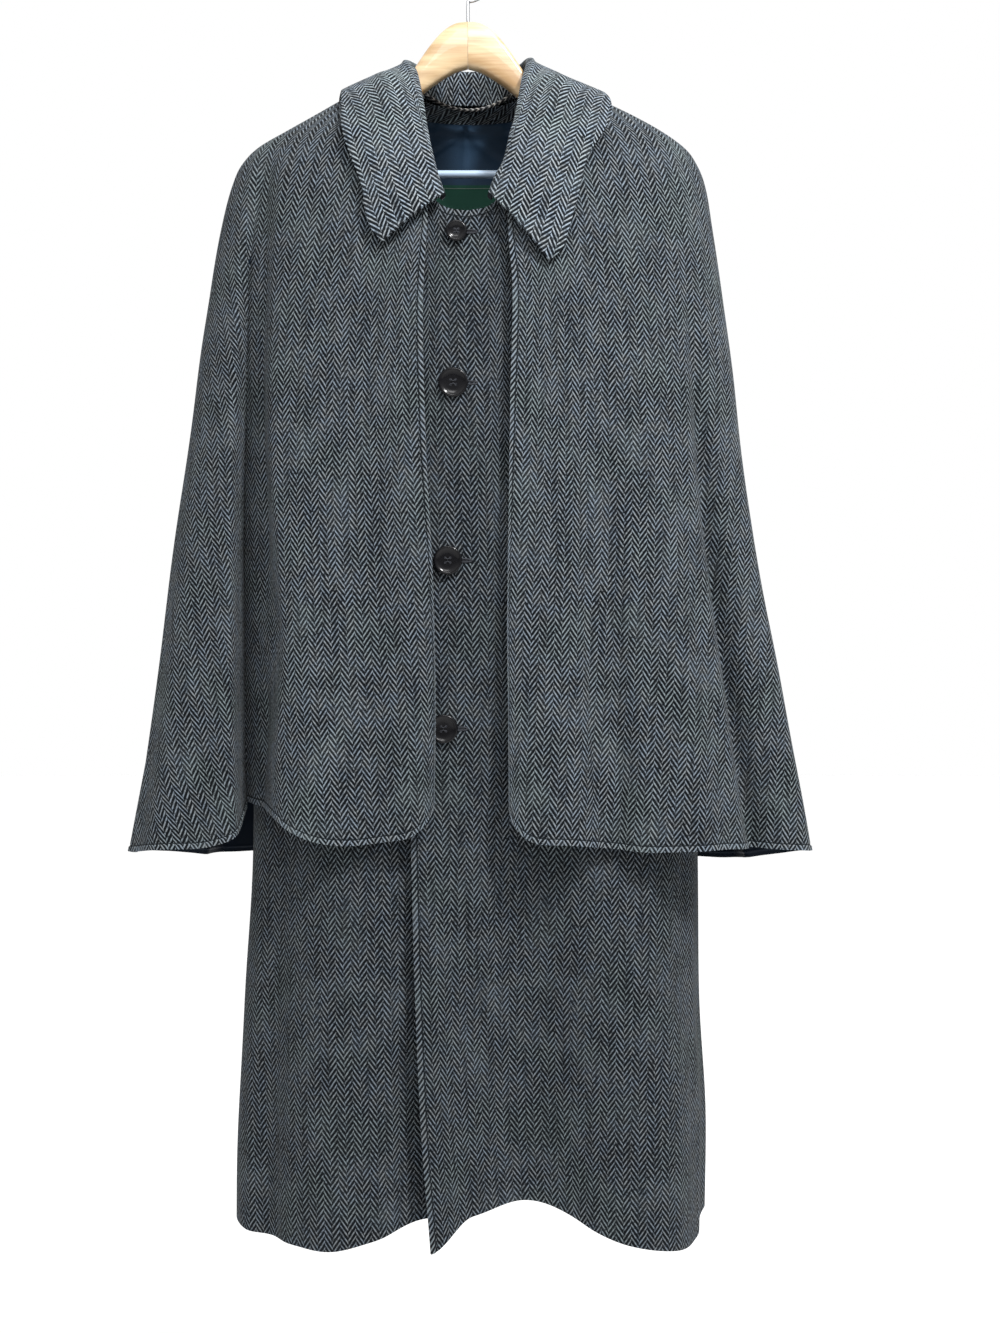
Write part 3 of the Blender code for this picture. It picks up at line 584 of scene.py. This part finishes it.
def finish_loft(name, grid, back, u, v, outer, inner, far=None):
    """Mesh of a cloth from its outer and inner face, with its maps and two materials."""
    rows, columns = grid.shape[:2]
    count = rows * columns
    index = np.arange(count).reshape(rows, columns)
    a, b, c, d = index[:-1, :-1], index[1:, :-1], index[1:, 1:], index[:-1, 1:]
    front = np.stack([a, b, c, d], -1).reshape(-1, 4)
    rear = np.stack([a, d, c, b], -1).reshape(-1, 4) + count
    rim = np.concatenate([index[:, 0], index[-1, 1:], index[-2::-1, -1], index[0, -2:0:-1]])
    after = np.roll(rim, -1)
    side = np.stack([after, rim, rim + count, after + count], -1)
    faces = np.concatenate([front, rear, side])
    points = np.concatenate([grid.reshape(-1, 3), back.reshape(-1, 3)])
    mesh = bpy.data.meshes.new(name)
    mesh.from_pydata(points.tolist(), [], faces.tolist())
    maps = {"cloth": (u, v)} if far is None else {"cloth": (u, v), "border": (far, far)}
    for title, pair in maps.items():
        flat = np.stack([pair[0].ravel(), pair[1].ravel()], -1)
        flat = np.concatenate([flat, flat])
        layer = mesh.uv_layers.new(name=title)
        layer.data.foreach_set("uv", flat[faces.ravel()].astype(np.float32).ravel())
    mesh.materials.append(outer)
    mesh.materials.append(inner)
    kinds = np.zeros(len(faces), np.int32)
    kinds[len(front):len(front) + len(rear)] = 1
    mesh.polygons.foreach_set("material_index", kinds)
    mesh.shade_smooth()
    mesh.set_sharp_from_angle(angle=radians(60))
    area = sum(p.area for p in mesh.polygons) / 2
    print(name, "faces", len(faces), "cloth area", round(area, 4))
    return added(name, mesh)


def place(made, slot, *nodes):
    """Sets a piece on the root body, in place of its nodes, which it hides."""
    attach(made, "root")
    if nodes:
        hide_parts(*nodes)
    return made


def dress(made, slot, node, held, *rests_on):
    place(made, slot, node)


def hang(name, grid, relief, outer, inner, *rests_on, dents=1.0, **facts):
    """A tweed cloth of the coat or cape, with its dents, in place of its node."""
    made = loft(name, grid, CLOTH, outer, inner, relief=relief + dents * wobble(grid), **facts)
    dress(made, "tweed", name.replace("-", "_"), "hung", *rests_on)


def wobble(points):
    """Small soft dents, in millimetres, the same on both sides of a seam."""
    x, y, z = points[..., 0] * MM, points[..., 1] * MM, points[..., 2] * MM
    dents = 0.0
    for high, *waves in DENTS:
        for by_x, by_z, by_y, start in waves:
            high = high * np.sin(by_x * x + by_z * z + by_y * y + start)
        dents = dents + high
    return dents * ease((-points[..., 2] - DENTS_TOP) / DENTS_RUN)


def edge_relief(far):
    """Height of a folded and stitched edge at a distance from it, in millimetres."""
    return (EDGE_HIGH * (1 - ease((far - EDGE_END) / EDGE_SOFT))
            - STITCH_DIP * np.exp(-((far - STITCH_PLACE) / STITCH_WIDE) ** 2))


def finer(shares, times):
    places = np.linspace(0, len(shares) - 1, times)
    return np.interp(places, np.arange(len(shares)), shares)


CAPE_ROWS = np.array([0, 8, 18, 31, 45, 60, 78, 100, 140, 200, 280, 370, 460, 550, 640, 710,
                      764]) / 764
COAT_ROWS = np.array([0, 12, 30, 50, 68, 83, 100, 128, 165, 225, 290, 330, 355, 430, 560, 700,
                      850, 990, 1128]) / 1128


def with_spare(shares):
    return np.concatenate([[-shares[1]], shares, [2 - shares[-2]]])


def front_edge_columns(shares, line, corner):
    """Adds columns for the stitched border along a front edge at the start or the end."""
    length = steps(line).sum()
    close = np.arange(0, 9, 0.8) / length
    inner = shares[shares > close[-1] + 0.5 / length]
    if corner > 0:
        return np.concatenate([close, inner])
    if corner < 0:
        outer = shares[shares < 1 - close[-1] - 0.5 / length]
        return np.concatenate([outer, 1 - close[::-1]])
    return shares


def cape_part(start, end, columns, corner=0):
    """Grid of a part of the cape; start and end give an angle for a depth.

    Corner tells where the front edge is: 1 at the start, -1 at the end, 0 nowhere. On the right
    front the columns follow the deep fold, which moves with the depth.
    """
    first, last = float(start(CAPE_MIDDLE)), float(end(CAPE_MIDDLE))
    fine = np.linspace(0, 1, 1500)
    line = surface(CAPE, CAPE_FOLDS, first + (last - first) * fine, CAPE_MIDDLE)
    shares = with_spare(front_edge_columns(spaced(line, columns), line, corner))
    nominal = first + (last - first) * shares
    pivot = (radians(VALLEY_END) - first) / (last - first)

    def placed(a, b, valley):
        if corner <= 0:
            return a + (b - a) * shares
        return np.where(shares < pivot, a + (valley - a) * shares / pivot,
                        valley + (b - valley) * (shares - pivot) / (1 - pivot))

    first_depth, last_depth = (250.0, 150.0) if corner > 0 else (150.0, 250.0)
    top = neck_at(wrapped(placed(start(first_depth), end(last_depth), radians(VALLEY_START))))
    hem = along(CAPE_HEM, 1, np.degrees(wrapped(nominal)))
    if corner:
        flat = surface(CAPE, [], nominal, CAPE_MIDDLE)[:, 0]
        near = np.clip(1 - abs(flat - flat[1 if corner > 0 else -2]) / CORNER_REACH, 0, 1)
        hem = hem - CORNER_RISE * (1 - np.sqrt(1 - near ** 2 * 0.98))
    rows = finer(CAPE_ROWS, 120)
    rows = np.concatenate([rows[rows < 0.985], np.linspace(0.986, 1, 14)])
    depth = top[None] + rows[:, None] * (hem - top)[None]
    share = np.clip((depth - VALLEY_TOP) / VALLEY_RUN, 0, 1.1)
    valley = np.radians(VALLEY_START + (VALLEY_END - VALLEY_START) * share)
    grid = surface(CAPE, CAPE_FOLDS, placed(start(depth), end(depth), valley), depth)
    return keep_out(grid, CLOTH + CAPE_ROOM + CAPE_ROOM_BELOW * ease((depth - 230) / 120))


def seam(form, degrees, side, shift):
    """Angle of a seam, moved by half the gap between its two cloths."""
    def at(depth):
        across, deep = widths(form, radians(degrees), depth)
        speed = np.hypot(across * cos(radians(degrees)), deep * sin(radians(degrees)))
        return radians(degrees) + side * shift / speed
    return at


def coat_part(start, end, columns, folds, holes, under=False, corner=False, spread=1.0):
    """Grid of a part of the coat; holes tells which way the armholes pull its two ends."""
    last = float(end(900.0))
    at_neck, at_hem = float(start(250.0)), float(start(1245.0))
    shares = np.linspace(0, 1, columns + 1) ** spread
    if holes[0] == 0:
        shares = np.unique(np.concatenate([np.linspace(0, 0.03, 13), shares[shares > 0.034]]))
    shares = with_spare(shares)
    top = neck_at(wrapped(at_neck + (last - at_neck) * shares))
    nominal = at_hem + (last - at_hem) * shares
    hem = along(COAT_HEM, 1, np.degrees(wrapped(nominal)))
    if corner:
        flat = surface(COAT, [], nominal, 1249.0)[:, 0]
        hem = hem + OVER_EDGE_HEM * ease(1 - (flat - flat[1]) / 42)
    rows = finer(COAT_ROWS, 150)
    depth = top[None] + rows[:, None] * (hem - top)[None]
    a, b = start(depth), end(depth)
    angle = a + (b - a) * shares[None]
    angle += armhole(depth) * (holes[0] * (1 - shares) ** 3 + holes[1] * shares ** 3)
    inset = 0.0
    if under:
        x = surface(COAT, [], angle, depth)[..., 0]
        inset = UNDERLAP * ease((x + 78) / 18)
    return surface(COAT, folds, angle, depth, inset)


def armhole(depth):
    """Angle by which the arm's opening pulls a cloth's edge back from the side seam."""
    share = np.clip((depth - ARMHOLE_TOP) / (ARMHOLE_BOTTOM - ARMHOLE_TOP), 0, 1)
    return radians(ARMHOLE_ANGLE) * np.sin(pi * share) ** 0.65

# %% [markdown]
# ## Cape
# The cape is three cloths, joined at the sides and sewn in under the collar. Its edges are folded
# over and stitched, and rounded off where front and hem meet. Its inside is lined in navy, drawn
# near black as painted shade, which shows below the hem where the cloth folds back.

# %% Cape
def far_from_hem(grid):
    """Distance of each point from the hem along the cloth, in millimetres."""
    up = np.cumsum(steps(grid)[::-1], axis=0)[::-1]
    return np.concatenate([up, np.zeros((1, grid.shape[1]))])


def seam_dip(grid, at_start):
    """The shallow groove along a sewn seam, in millimetres."""
    return -SEAM_DIP * np.exp(-(far_from_edge(grid, at_start) / SEAM_WIDE) ** 2)


def far_from_edge(grid, at_start):
    """Distance of each point from the cloth's start or end, in millimetres."""
    gone = steps(grid if at_start else grid[:, ::-1], 1)
    far = np.concatenate([-gone[:, :1], np.zeros((len(grid), 1)),
                          np.cumsum(gone[:, 1:], axis=1)], axis=1)
    return far if at_start else far[:, ::-1]


def edge(form, table):
    """Angle of a front edge for a depth."""
    return lambda depth: edge_angle(form, table, depth)


grid = cape_part(edge(CAPE, CAPE_EDGE_RIGHT), seam(CAPE, -SEAM_ANGLE, 1, SEAM_HALF), 150, 1)
relief = edge_relief(np.minimum(abs(far_from_edge(grid, True)), far_from_hem(grid)))
hang("cape-right", grid, relief + seam_dip(grid, False), CAPE_TWEED, CAPE_LINING_PAINTED_SHADE,
     "front_right", border="front hem")
grid = cape_part(seam(CAPE, SEAM_ANGLE, -1, SEAM_HALF), edge(CAPE, CAPE_EDGE_LEFT), 140, -1)
relief = edge_relief(np.minimum(abs(far_from_edge(grid, False)), far_from_hem(grid)))
hang("cape-left", grid, relief + seam_dip(grid, True), CAPE_TWEED, CAPE_LINING_PAINTED_SHADE,
     "front_left", border="front hem", edge_last=True)
grid = cape_part(seam(CAPE, -SEAM_ANGLE, -1, SEAM_HALF),
                 seam(CAPE, -360 + SEAM_ANGLE, 1, SEAM_HALF), 200)
relief = edge_relief(far_from_hem(grid)) + seam_dip(grid, False) + seam_dip(grid, True)
hang("cape-back", grid, relief, CAPE_TWEED, CAPE_LINING_PAINTED_SHADE, "coat_back", border="hem")

# %% [markdown]
# ## Coat
# The coat's body is a back and two fronts. The wearer's left front laps over the right one and
# its stitched edge hangs free below the cape, its corner a little longer. The armholes are cut
# out under the cape.

# %% Coat
left, right = seam(COAT, COAT_SEAM, -1, SEAM_HALF), seam(COAT, -COAT_SEAM, 1, SEAM_HALF)
# The coat's cloths use the cape's tweed drawn darker, as painted shade.
grid = coat_part(edge(COAT, COAT_EDGE_LEFT), left, 110, COAT_FOLDS, (0, -1), corner=True, spread=1.1)
relief = seam_dip(grid, False) + edge_relief(abs(far_from_edge(grid, True)))
hang("front-left", grid, relief, COAT_TWEED_PAINTED_SHADE, LINING, "hanger_left",
     border="front neck", dents=COAT_DENTS)
grid = coat_part(edge(COAT, COAT_EDGE_RIGHT), right, 100, COAT_FOLDS + [UNDER_FOLD], (0, 1),
                 under=True, spread=1.1)
hang("front-right", grid, seam_dip(grid, False), BACK_TWEED_PAINTED_SHADE, LINING, "hanger_right",
     dents=COAT_DENTS)
left = seam(COAT, COAT_SEAM - 360, 1, SEAM_HALF)
right = seam(COAT, -COAT_SEAM, -1, SEAM_HALF)
grid = coat_part(right, left, 150, COAT_FOLDS, (-1, 1))
hang("coat-back", grid, seam_dip(grid, False) + seam_dip(grid, True), BACK_TWEED_PAINTED_SHADE, LINING,
     "hanger_left", "hanger_right", dents=COAT_DENTS)

# %% [markdown]
# ## Inside of the neck
# A narrow band of tweed faces the back neck. Below it the navy lining has a pleat down its
# centre and a few soft creases where it hangs free. The woven label is sewn on it, left bare but
# for one light line.

# %% Inside of the neck
INSIDE = CLOTH + INSIDE_ROOM
LABEL_ROOM = 1.7
LINE_ROOM = 2.5
# Soft creases: place in degrees, slope in degrees a millimetre down, half width, depth.
LINING_CREASES = [(-4, 0.35, 2.4, 1.1), (-17, -0.3, 2.0, 1.0), (10, -0.5, 1.8, 1.1), (19, 0.2, 2.6, 1.0),
                  (-28, 0.25, 2.4, 0.9)]


def inner_grid(half, columns, depth, from_neck=True, inside=INSIDE):
    """Grid inside the back, half an angle each side of its centre, at depths below the neck."""
    angles = np.radians(np.linspace(half - 180, -180 - half, columns))
    if from_neck:
        depth = np.maximum(neck_at(wrapped(angles))[None] + depth, COAT[0][0])
    return angles, inside_of(surface(COAT, [], angles + 0 * depth, depth + 0 * angles), inside)


_, grid = inner_grid(64, 60, np.linspace(-1.5, 11.5, 8)[:, None])
# The facing uses the collar's tweed, drawn lighter as painted light.
dress(loft("neck-facing", grid, 1.2, COLLAR_TWEED_PAINTED_LIGHT, COLLAR_TWEED_PAINTED_LIGHT, spare=0),
      "tweed", "neck_facing", "stretched", "coat_back")
rows = np.linspace(12.2, 175, 80)[:, None]
angles, grid = inner_grid(56, 100, rows)
turn = np.degrees(angles)[None] + 180
creases = -1.2 * np.exp(-((turn - 2) / 1.2) ** 2) * ease((150 - rows) / 60)
creases = creases + 0.7 * np.sin(rows * 0.55 + turn * 0.12) * np.exp(-((rows - 20) / 9) ** 2)
for at, slope, wide, deep in LINING_CREASES:
    creases = creases - deep * np.exp(-((turn - at + (rows - 30) * slope) / wide) ** 2)
# Nothing creases under the label.
creases = creases * (1 - ease((13 - abs(turn)) / 3) * ease((rows - 58) / 10))
dress(loft("back-lining", grid, 0.8, LINING, LINING, spare=0, relief=-abs(creases)),
      "lining", "back_lining", "hung", "coat_back")
depth = np.linspace(196, 236, 24)[:, None]
_, grid = inner_grid(10.5, 30, depth, False, INSIDE + LABEL_ROOM)
dress(loft("neck-label", grid, 0.7, LABEL, LABEL, spare=0),
      "label", "neck_label", "laid", "back-lining")
label_line = inner_grid(10.5, 30, depth, False, INSIDE + LINE_ROOM)[1][2, 1:-1]

# %% [markdown]
# ## Collar
# The collar stands at the back of the neck, rolls over and falls on the cape, ending in two
# points. Its weave is drawn on the collar laid flat, along each leaf's outer edge. The stand
# inside the roll is a cloth of its own, so its weave goes straight round the neck.

# %% Collar
# Columns worked out round the collar, and the shares of its fall where a point is set.
STATIONS = 46
FALL_SHARES = (0.25, 0.5, 0.75, 0.92)
FALL_BULGE = 7


def collar_grid():
    """Points of the collar, a line over the roll for each station round the neck."""
    other = [(*row[:3], row[3] - 360, *row[4:6], row[6] - 360) for row in LEAF_LEFT[::-1]]
    rows = LEAF_RIGHT + [BACK_ROLL] + other
    table = [(k, *row) for k, row in enumerate(rows)]
    fine = np.linspace(0, len(table) - 1, 400)
    rims = surface(CAPE, [], np.radians(along(table, 4, fine)), along(table, 5, fine))
    columns = []
    for s in spaced(rims, STATIONS) * (len(table) - 1):
        x, y, d, edge_at, edge_depth, radius, sewn = (
            float(along(table, c, s)) for c in range(1, 8))
        outward = np.array([x, y + 8, 0.0])
        outward /= norm(outward)
        down = np.array([0, 0, -1.0])
        top = np.array([x, y, -d])
        plan = wrapped(radians(sewn))
        seam_depth = float(neck_at(plan))
        foot = surface(COAT, [], np.array(plan), seam_depth, 0.6) - outward * 2.0
        reach = top - foot
        flatness = np.hypot(reach[0], reach[1]) / norm(reach)
        foot[2] = -seam_depth + 1.6 + COLLAR_CLOTH * 2.5 * flatness
        top[2] = max(top[2], foot[2] + 3.0)
        inner = top - outward * radius + down * radius * 0.9
        inner[2] = max(inner[2], foot[2] + 0.4 * (top[2] - foot[2]))
        outer = top + outward * radius + down * radius * 0.9
        rim = clear_of_cape(surface(CAPE, [], np.array(radians(edge_at)), edge_depth))
        fall = [outer + (rim - outer) * share + outward * FALL_BULGE * sin(pi * share)
                for share in FALL_SHARES]
        columns.append([foot, inner, top, outer, *map(clear_of_cape, fall), rim])
    return np.array(columns)


def level(p):
    """How far out a point lies, 1 on the cape's own face."""
    across, deep = widths(CAPE, np.arctan2(p[0] / 120, -p[1] / 80), max(-p[2], CAPE[0][0]))
    return float(np.hypot(p[0] / across, p[1] / deep))


def clear_of_cape(point):
    """Moves a point outwards until the collar's cloth clears the cape."""
    room = COLLAR_CLOTH + COLLAR_ROOM
    for _ in range(6):
        here = level(point)
        slope = np.array([level(point + s) - here for s in np.eye(3) * 0.5]) / 0.5
        steep = norm(slope)
        away = (here - 1) / steep
        if away >= room:
            break
        point = point + slope / steep * (room - away)
    return point


def dense(grid, rows, columns):
    """Smooth curves through a grid of points, both ways."""
    for count, axis in ((rows, 0), (columns, 1)):
        moved = np.moveaxis(grid, axis, 0)
        keys = np.arange(len(moved), dtype=float)
        at = np.linspace(0, len(moved) - 1, count)
        i = np.clip(at.astype(int), 0, len(moved) - 2)
        t = (at - i)[:, None, None]
        slope = np.gradient(moved, keys, axis=0)
        moved = (moved[i] * (1 + 2 * t) * (1 - t) ** 2 + slope[i] * t * (1 - t) ** 2
                 + moved[i + 1] * t * t * (3 - 2 * t) + slope[i + 1] * t * t * (t - 1))
        grid = np.moveaxis(moved, 0, axis)
    return grid


def third_corner(a, b, from_a, from_b):
    """Corner of a flat triangle to the right of a to b, at its distances from the two."""
    side = norm(b - a)
    along_side = (from_a ** 2 - from_b ** 2 + side ** 2) / (2 * side)
    off = max(from_a ** 2 - along_side ** 2, 0.0) ** 0.5
    way = (b - a) / side
    return a + way * along_side + np.array([way[1], -way[0]]) * off


def laid_flat(points, roll, rim):
    """The collar opened out flat, one narrow strip after another, as it was cut."""
    tops, rims = points[:, roll], points[:, rim]
    top = np.zeros(2)
    far = np.array([0, norm(rims[0] - tops[0])])
    flat = []
    reached = np.cumsum(steps(points, 1), axis=1)
    reached = np.concatenate([np.zeros((len(points), 1)), reached], axis=1)
    reached = (reached - reached[:, roll:roll + 1]) * (1 if rim > roll else -1)
    for i in range(len(points)):
        way = (far - top) / norm(far - top)
        flat.append(top + way * reached[i][:, None])
        if i + 1 < len(points):
            new = third_corner(top, far, norm(tops[i + 1] - tops[i]),
                               norm(tops[i + 1] - rims[i]))
            far = third_corner(new, far, norm(rims[i + 1] - tops[i + 1]),
                               norm(rims[i + 1] - rims[i]))
            top = new
    return np.array(flat)


def collar_weave(points, roll, rim):
    """Place in the weave: alike on both halves, and along each leaf's outer edge."""
    flat = laid_flat(points, roll, rim)
    middle = np.where(points[:, roll, 1] > 0, abs(points[:, roll, 0]), 1e9).argmin()
    down = flat[middle, rim] - flat[middle, roll]
    down /= norm(down)
    flat = flat - flat[middle, roll]
    print("collar-cloth laid flat", (np.ptp(flat @ np.array([down[1], -down[0]])) * MM).round(3),
          (np.ptp(flat @ down) * MM).round(3))
    both = np.stack([abs(flat @ np.array([down[1], -down[0]])), flat @ down], -1)
    ends = [both[6, rim] - both[28, rim], both[-7, rim] - both[-29, rim]]  # Along each leaf.
    way = sum(end / norm(end) for end in ends)
    way /= norm(way)
    print("collar's weave turned from its back by", round(float(np.degrees(np.arctan2(*way))), 1))
    u, v = both @ np.array([way[1], -way[0]]) * COLLAR_EASED, both @ way / COLLAR_EASED
    # The stand inside the roll is a cloth of its own, cut straight along the neck.
    gone = np.concatenate([[0], np.cumsum(steps(points[:, roll]))])[:, None] + 0 * u
    below = (flat - flat[:, roll:roll + 1]) @ down
    stand = np.arange(points.shape[1]) < roll if rim > roll else np.arange(points.shape[1]) > roll
    return np.where(stand, gone, u) * MM, np.where(stand, below, v) * MM


COLLAR_EASED = 0.91
COLLAR_ROLL = 0.25
COLLAR_LIFT = 1.3
RIM_LIFT = 2.4
collar_mm = dense(collar_grid(), 220, 60)
shares = np.linspace(0, 1, 60)
if (normals(collar_mm)[:, :, :2] * collar_mm[:, :, :2]).sum() < 0:
    collar_mm, shares = collar_mm[:, ::-1], shares[::-1]
faced = normals(collar_mm)
lift = (RIM_LIFT * ease((shares - 0.55) / 0.4))[None, :, None]
grid_m = (collar_mm + (COLLAR_LIFT + lift) * faced) * MM
back_m = (collar_mm + (lift - COLLAR_CLOTH) * faced) * MM
roll = abs(shares - COLLAR_ROLL).argmin()
u, v = collar_weave(collar_mm, roll, shares.argmax())
# The collar's tweed is drawn lighter than the cape's, as painted light.
dress(finish_loft("collar-cloth", grid_m, back_m, u, v, COLLAR_TWEED_PAINTED_LIGHT, COLLAR_TWEED_PAINTED_LIGHT),
      "tweed", "collar", "folded", "cape-right", "cape-left")

# %% [markdown]
# ## Hanging loop, buttons and buttonholes
# The loop is a strip of tweed rolled to a cord. The buttons are polished, with a rim, a dished
# middle and four holes sewn through. Each buttonhole is a slit bound with thread, on the side of
# the button away from the front's edge.

# %% Loop, buttons and buttonholes
def solid(name, points, faces, material, slot, *nodes):
    """A piece from points in millimetres, in place of its nodes."""
    mesh = bpy.data.meshes.new(name)
    mesh.from_pydata([tuple(np.array(p) * MM) for p in points], [], faces)
    mesh.materials.append(material)
    mesh.shade_smooth()
    mesh.set_sharp_from_angle(angle=radians(55))
    return place(added(name, mesh), slot, *nodes)


def ring_faces(rings, count, closed=False):
    """Faces over rings of points, with an end at each side unless they run round."""
    faces = []
    for r in range(rings if closed else rings - 1):
        for k in range(count):
            n, m = (k + 1) % count, (r + 1) % rings
            faces.append((r * count + k, r * count + n, m * count + n, m * count + k))
    if not closed:
        faces += [tuple(range(count))[::-1], tuple((rings - 1) * count + k for k in range(count))]
    return faces


def tube_mesh(line, radius, count=10, closed=False):
    """Points and faces of a round cord along a line."""
    line = np.array(line, float)
    ways = np.gradient(line, axis=0)
    if closed:
        ways = (np.roll(line, -1, axis=0) - np.roll(line, 1, axis=0)) / 2
    side = np.array([0.0, 1.0, 0.0])
    points = []
    for spot, way in zip(line, ways):
        way = way / norm(way)
        side = side - way * side.dot(way)
        side /= norm(side)
        other = np.cross(way, side)
        points += [spot + radius * (side * cos(tau * k / count) + other * sin(tau * k / count))
                   for k in range(count)]
    return points, ring_faces(len(line), count, closed)


def joined(parts):
    """Several meshes as one."""
    points, faces = [], []
    for some, over in parts:
        faces += [tuple(i + len(points) for i in face) for face in over]
        points += list(some)
    return points, faces


def turned_mesh(profile, count=40):
    """A turned solid from radius and height."""
    points = [(r * cos(tau * k / count), -h, r * sin(tau * k / count))
              for r, h in profile for k in range(count)]
    return points, [face[::-1] for face in ring_faces(len(profile), count)]


def front_at(across, depth):
    """The over-front's face at a place across and a depth below the hook."""
    angle = float(edge_angle(COAT, [(0, across), (2000, across)], depth))
    return float(surface(COAT, COAT_FOLDS, np.array(angle), depth)[1])


# Loop, in millimetres: half its length, how far its middle hangs down, depth of its ends, radius
# of the cord, half widths of the neck it follows and how far it lies inside; then its weave.
LOOP_HALF, LOOP_SAG, LOOP_DEPTH, LOOP_CORD = 45.0, 12.5, 117, 1.8
LOOP_WIDE, LOOP_DEEP, LOOP_INSET = 75, 62, 5.95
LOOP_SIDES = 14
LOOP_WEAVE = (0.0008, 0.0016)
loop = [(x, LOOP_DEEP * (1 - (x / LOOP_WIDE) ** 2) ** 0.5 - LOOP_INSET,
         -LOOP_DEPTH - LOOP_SAG * (1 - (x / LOOP_HALF) ** 2))
        for x in np.linspace(-LOOP_HALF, LOOP_HALF, 60)]
cord = solid("hanging-loop", *tube_mesh(loop, LOOP_CORD, LOOP_SIDES), LOOP_TWEED, "tweed",
             "hanging_loop")
layer = cord.data.uv_layers.new(name="cloth")
for corner in cord.data.loops:
    ring, k = divmod(corner.vertex_index, LOOP_SIDES)
    layer.data[corner.index].uv = (abs(k - LOOP_SIDES / 2) * LOOP_WEAVE[0], ring * LOOP_WEAVE[1])
solid("label-line", *tube_mesh(label_line, 0.4, 6), LABEL_LINE, "label")
# Section of a button: share of its radius, millimetres more, height.
BUTTON_SECTION = [(0, 2.6, 0), (0, 2.6, 1.3), (0.8, 0, 1.5), (1, -0.6, 2.2), (1, 0, 3.0),
                  (1, 0, 3.7), (1, -0.5, 4.4), (1, -1.3, 4.7), (1, -2.1, 4.6), (1, -3.0, 4.0),
                  (1, -4.4, 3.3), (0.45, 0, 3.1), (0, 0.4, 3.1)]
for k, (across, down, radius) in enumerate(BUTTONS, 1):
    base = min(front_at(across + a, down + b) for a in (-radius, 0, radius)
               for b in (-radius, 0, radius)) - GAP
    shape = [(radius * share + more, high) for share, more, high in BUTTON_SECTION]
    points, faces = turned_mesh(shape)
    points = [(p[0] + across, p[1] + base, p[2] - down) for p in points]
    solid(f"button-{k}", points, faces, HORN, "horn", f"button_{k}")
    sewn = []
    spread = radius * 0.17
    for a, b in ((1, 1), (-1, -1), (1, -1), (-1, 1)):
        hole = [(across + a * spread + 0.9 * cos(t), base - 3.15, -down + b * spread + 0.9 * sin(t))
                for t in np.linspace(0, tau, 12, endpoint=False)]
        sewn.append(tube_mesh(hole, 0.3, 6, True))
    for a in (1, -1):
        sewn.append(tube_mesh([(across - spread, base - 3.2, -down + a * spread),
                               (across, base - 3.9, -down + a * spread * 0.4),
                               (across + spread, base - 3.2, -down + a * spread)], 0.55, 8))
    solid(f"button-thread-{k}", *joined(sewn), THREAD, "horn")
    long = radius + 9
    ring = []
    for t in np.linspace(0, tau, 44, endpoint=False):
        x = across + long / 2 - 2 + (long / 2 + 2) * np.sign(cos(t)) * abs(cos(t)) ** 0.5
        z = down + 1.5 * sin(t)
        ring.append((x, front_at(x, z) - 0.65, -z))
    slit = [(x, front_at(x, down) - 0.1, -down) for x in np.linspace(across, across + long - 1, 12)]
    bound = joined([tube_mesh(ring, 0.75, 8, True), tube_mesh(slit, 0.6, 8)])
    solid(f"buttonhole-{k}", *bound, THREAD, "tweed")
print("buttons", len(BUTTONS))

# %% [markdown]
# ## Hanger
# Two sawn halves are glued at the middle, with the grain running down each arm, and lacquered.
# The trouser bar is a pale tube between the arms. The wire hook is plain.

# %% Hanger
# Trouser bar and hook, in millimetres.
BAR_RADIUS = 4.0
BAR_END = 183.0
BAR_DEPTH = 214.4
WIRE = 1.7
HOOK_RADIUS = 21.5
SHANK = (-62.2, -58, -54, -50, -47)
ARM_SIDES = 32
ARM_SQUARE = 0.6


def arm_mesh(side):
    """One half of the hanger, its section rounded and its end eased off."""
    points = []
    stations = np.concatenate([np.linspace(0, 70, 40), np.linspace(73, 202, 40), [203.2, 204]])
    for across in stations:
        top, tall, half_thick = (float(along(ARM, c, across)) for c in (1, 2, 3))
        taper = 1 if across < 202 else 0.93 if across < 203.5 else 0.8
        for a in np.arange(ARM_SIDES) * tau / ARM_SIDES:
            thick, high = (np.sign(f) * abs(f) ** ARM_SQUARE for f in (cos(a), sin(a)))
            points.append((side * max(across, 0.15), taper * half_thick * thick,
                           -top - tall / 2 + taper * tall / 2 * high))
    faces = ring_faces(len(stations), ARM_SIDES)
    return points, faces if side > 0 else [face[::-1] for face in faces]


solid("hanger-right", *arm_mesh(-1), WOOD_RIGHT, "wood", "hanger_right")
solid("hanger-left", *arm_mesh(1), WOOD_LEFT, "wood", "hanger_left")
solid("hanger-bar", *tube_mesh([(x, 0, -BAR_DEPTH) for x in np.linspace(-BAR_END, BAR_END, 9)],
                               BAR_RADIUS, 24), BAR, "bar", "hanger_bar")
hook = [(0, 0, z) for z in SHANK]
hook += [(HOOK_RADIUS * cos(a), 0, WIRE - HOOK_RADIUS + HOOK_RADIUS * sin(a))
         for a in np.radians(np.linspace(-90, 160, 60))]
solid("hanger-hook", *tube_mesh(hook, WIRE, 16), STEEL, "steel", "hanger_hook")
